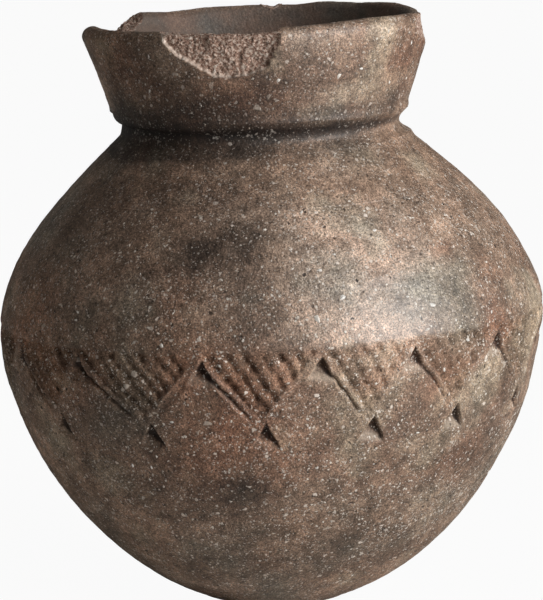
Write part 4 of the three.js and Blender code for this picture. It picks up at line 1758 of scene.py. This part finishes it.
@dataclass(frozen=True)
class Lamp:
    """A softbox: where it stands from the jar, how wide and tall it is, how bright, and whether the clay's
    sheen shows it; the weak ones only lift the shade."""

    name: str
    azimuth: float
    elevation: float
    distance: float
    width: float
    tall: float
    power: float
    in_sheen: bool = False


@dataclass
class Studio:
    """A pale sweep of paper, a tall softbox at the right, two weak ones behind, a dim room and the camera."""

    camera_at: tuple[float, float, float] = (-0.000516, -0.915, 0.217)
    looks_at: tuple[float, float, float] = (-0.000516, 0, 0.07066)
    lens: float = 232
    nearest_seen: float = 0.05
    lamps: tuple[Lamp, ...] = (
        Lamp("key", 54, 12.5, 1.1, 0.65, 0.95, 14.4, True),
        Lamp("fill", -116, 12, 1.2, 0.7, 0.8, 1.1),
        Lamp("top", -120, 66, 1.2, 0.9, 0.9, 0.5),
    )
    aim_height: float = 0.07
    room: str = "#ffefe0"
    room_light: float = 0.035
    paper: str = "#e0e0de"
    paper_glow: float = 0.95
    paper_grain: float = 0.8 * MM
    paper_tooth: float = 0.1 * MM
    paper_size: float = 5.0
    wall_behind: float = 1.9
    wall_height: float = 2.2
    sweep: float = 0.9
    sweep_steps: int = 24

    def place_camera(self) -> None:
        """Stands the camera where the picture was taken from."""
        bpy.ops.object.camera_add(location=self.camera_at)
        camera = bpy.context.object
        camera.rotation_euler = self._aimed(self.camera_at, self.looks_at)
        camera.data.lens = self.lens
        camera.data.clip_start = self.nearest_seen
        bpy.context.scene.camera = camera

    @staticmethod
    def _aimed(start: tuple[float, ...], end: tuple[float, ...]) -> Euler:
        """The rotation that looks from start to end."""
        return (Vector(end) - Vector(start)).to_track_quat("-Z", "Y").to_euler()

    def light(self) -> None:
        """Sets up the softboxes and the pale room, which the camera sees as white."""
        for lamp in self.lamps:
            turn, rise = math.radians(lamp.azimuth), math.radians(lamp.elevation)
            level = lamp.distance * math.cos(rise)
            height = self.aim_height + lamp.distance * math.sin(rise)
            place = (level * math.sin(turn), -level * math.cos(turn), height)
            bpy.ops.object.light_add(type="AREA", location=place)
            light = bpy.context.object
            light.name = light.data.name = lamp.name
            light.rotation_euler = self._aimed(place, (0, 0, self.aim_height))
            light.data.shape = "RECTANGLE"
            light.data.size = lamp.width
            light.data.size_y = lamp.tall
            light.data.energy = lamp.power
            light.visible_glossy = lamp.in_sheen
        world = bpy.data.worlds.new("pale room")
        bpy.context.scene.world = world
        world.use_nodes = True
        tree = world.node_tree
        tree.nodes.clear()
        seen = add_node(tree, "LightPath", out="Is Camera Ray")
        glow = add_node(tree, "MapRange", {"Value": seen, "To Min": self.room_light, "To Max": 1.0}, "Result")
        back = add_node(tree, "Background", {"Color": linear(self.room), "Strength": glow}, 0)
        add_node(tree, "OutputWorld", {"Surface": back})

    def roll_paper(self) -> None:
        """Lays the floor, and folds it up behind the jar in one soft sweep."""
        bpy.ops.object.select_all(action="DESELECT")
        middle = self.wall_behind - self.paper_size / 2
        bpy.ops.mesh.primitive_plane_add(size=self.paper_size, location=(0, middle, 0))
        paper = bpy.context.object
        paper.name = paper.data.name = "paper_sweep"
        bpy.ops.object.transform_apply(location=True, rotation=True, scale=True)
        self._select_edges(paper, lambda a, b: min(a.y, b.y) > self.wall_behind - MM)
        bpy.ops.object.mode_set(mode="EDIT")
        bpy.ops.mesh.extrude_region_move(TRANSFORM_OT_translate={"value": (0, 0, self.wall_height)})
        bpy.ops.object.mode_set(mode="OBJECT")
        self._select_edges(paper, lambda a, b: min(a.y, b.y) > self.wall_behind - MM and max(a.z, b.z) < MM)
        bpy.ops.object.mode_set(mode="EDIT")
        bpy.ops.mesh.bevel(offset=self.sweep, segments=self.sweep_steps, affect="EDGES")
        bpy.ops.object.mode_set(mode="OBJECT")
        bpy.ops.object.shade_smooth()
        paper.data.materials.append(self._paper_material())

    @staticmethod
    def _select_edges(piece: bpy.types.Object, wanted: Callable[[Vector, Vector], bool]) -> None:
        """Selects the edges whose two ends a test accepts.

        Args:
            piece: Whose edges they are.
            wanted: The test.
        """
        mesh = piece.data
        mesh.polygons.foreach_set("select", [False] * len(mesh.polygons))
        mesh.vertices.foreach_set("select", [False] * len(mesh.vertices))
        for edge in mesh.edges:
            ends = [mesh.vertices[corner].co for corner in edge.vertices]
            edge.select = wanted(*ends)
            for corner in edge.vertices:
                mesh.vertices[corner].select |= edge.select

    def _paper_material(self) -> bpy.types.Material:
        """Matt white background paper, near white to the camera, which still sees the jar's shadow on it.

        Returns:
            The material.
        """
        material, tree = new_material("background paper")
        grain = add_node(tree, "TexCoord", out="Object")
        grain = add_node(tree, "TexNoise", {"Vector": grain, "Scale": 1 / self.paper_grain}, "Fac")
        tooth = {"Strength": 0.05, "Distance": self.paper_tooth, "Height": grain}
        tooth = add_node(tree, "Bump", tooth, "Normal")
        matt = add_node(tree, "BsdfDiffuse", {"Color": linear(self.paper), "Normal": tooth}, 0)
        glow = add_node(tree, "Emission", {"Strength": 1.0}, 0)
        seen = add_node(tree, "LightPath", out="Is Camera Ray")
        share = add_node(tree, "Math", {0: seen, 1: self.paper_glow}, 0, operation="MULTIPLY")
        mixed = add_node(tree, "MixShader", {0: share, 1: matt, 2: glow}, 0)
        add_node(tree, "OutputMaterial", {"Surface": mixed})
        return material


def main() -> None:
    """Builds the studio and the jar's coils from the foot up."""
    logging.basicConfig(level=logging.INFO, format="%(name)s: %(message)s")
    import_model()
    bpy.context.scene.view_settings.view_transform = "Standard"
    studio = Studio()
    studio.place_camera()
    surface = ClaySurface()
    form = surface.form
    band, collar = BellyBand(), Collar()
    band_low, band_high = band.seams(form)
    throat_low = collar.seams(form)[0]
    potter = Potter(surface)
    Base().build(potter)
    LowerWall().build(potter, form.heel_width, band_low)
    band.build(potter)
    Shoulder().build(potter, band_high, throat_low)
    collar.build(potter)
    PaleStones().build(potter)
    studio.roll_paper()
    studio.light()


if __name__ == "__main__":
    main()
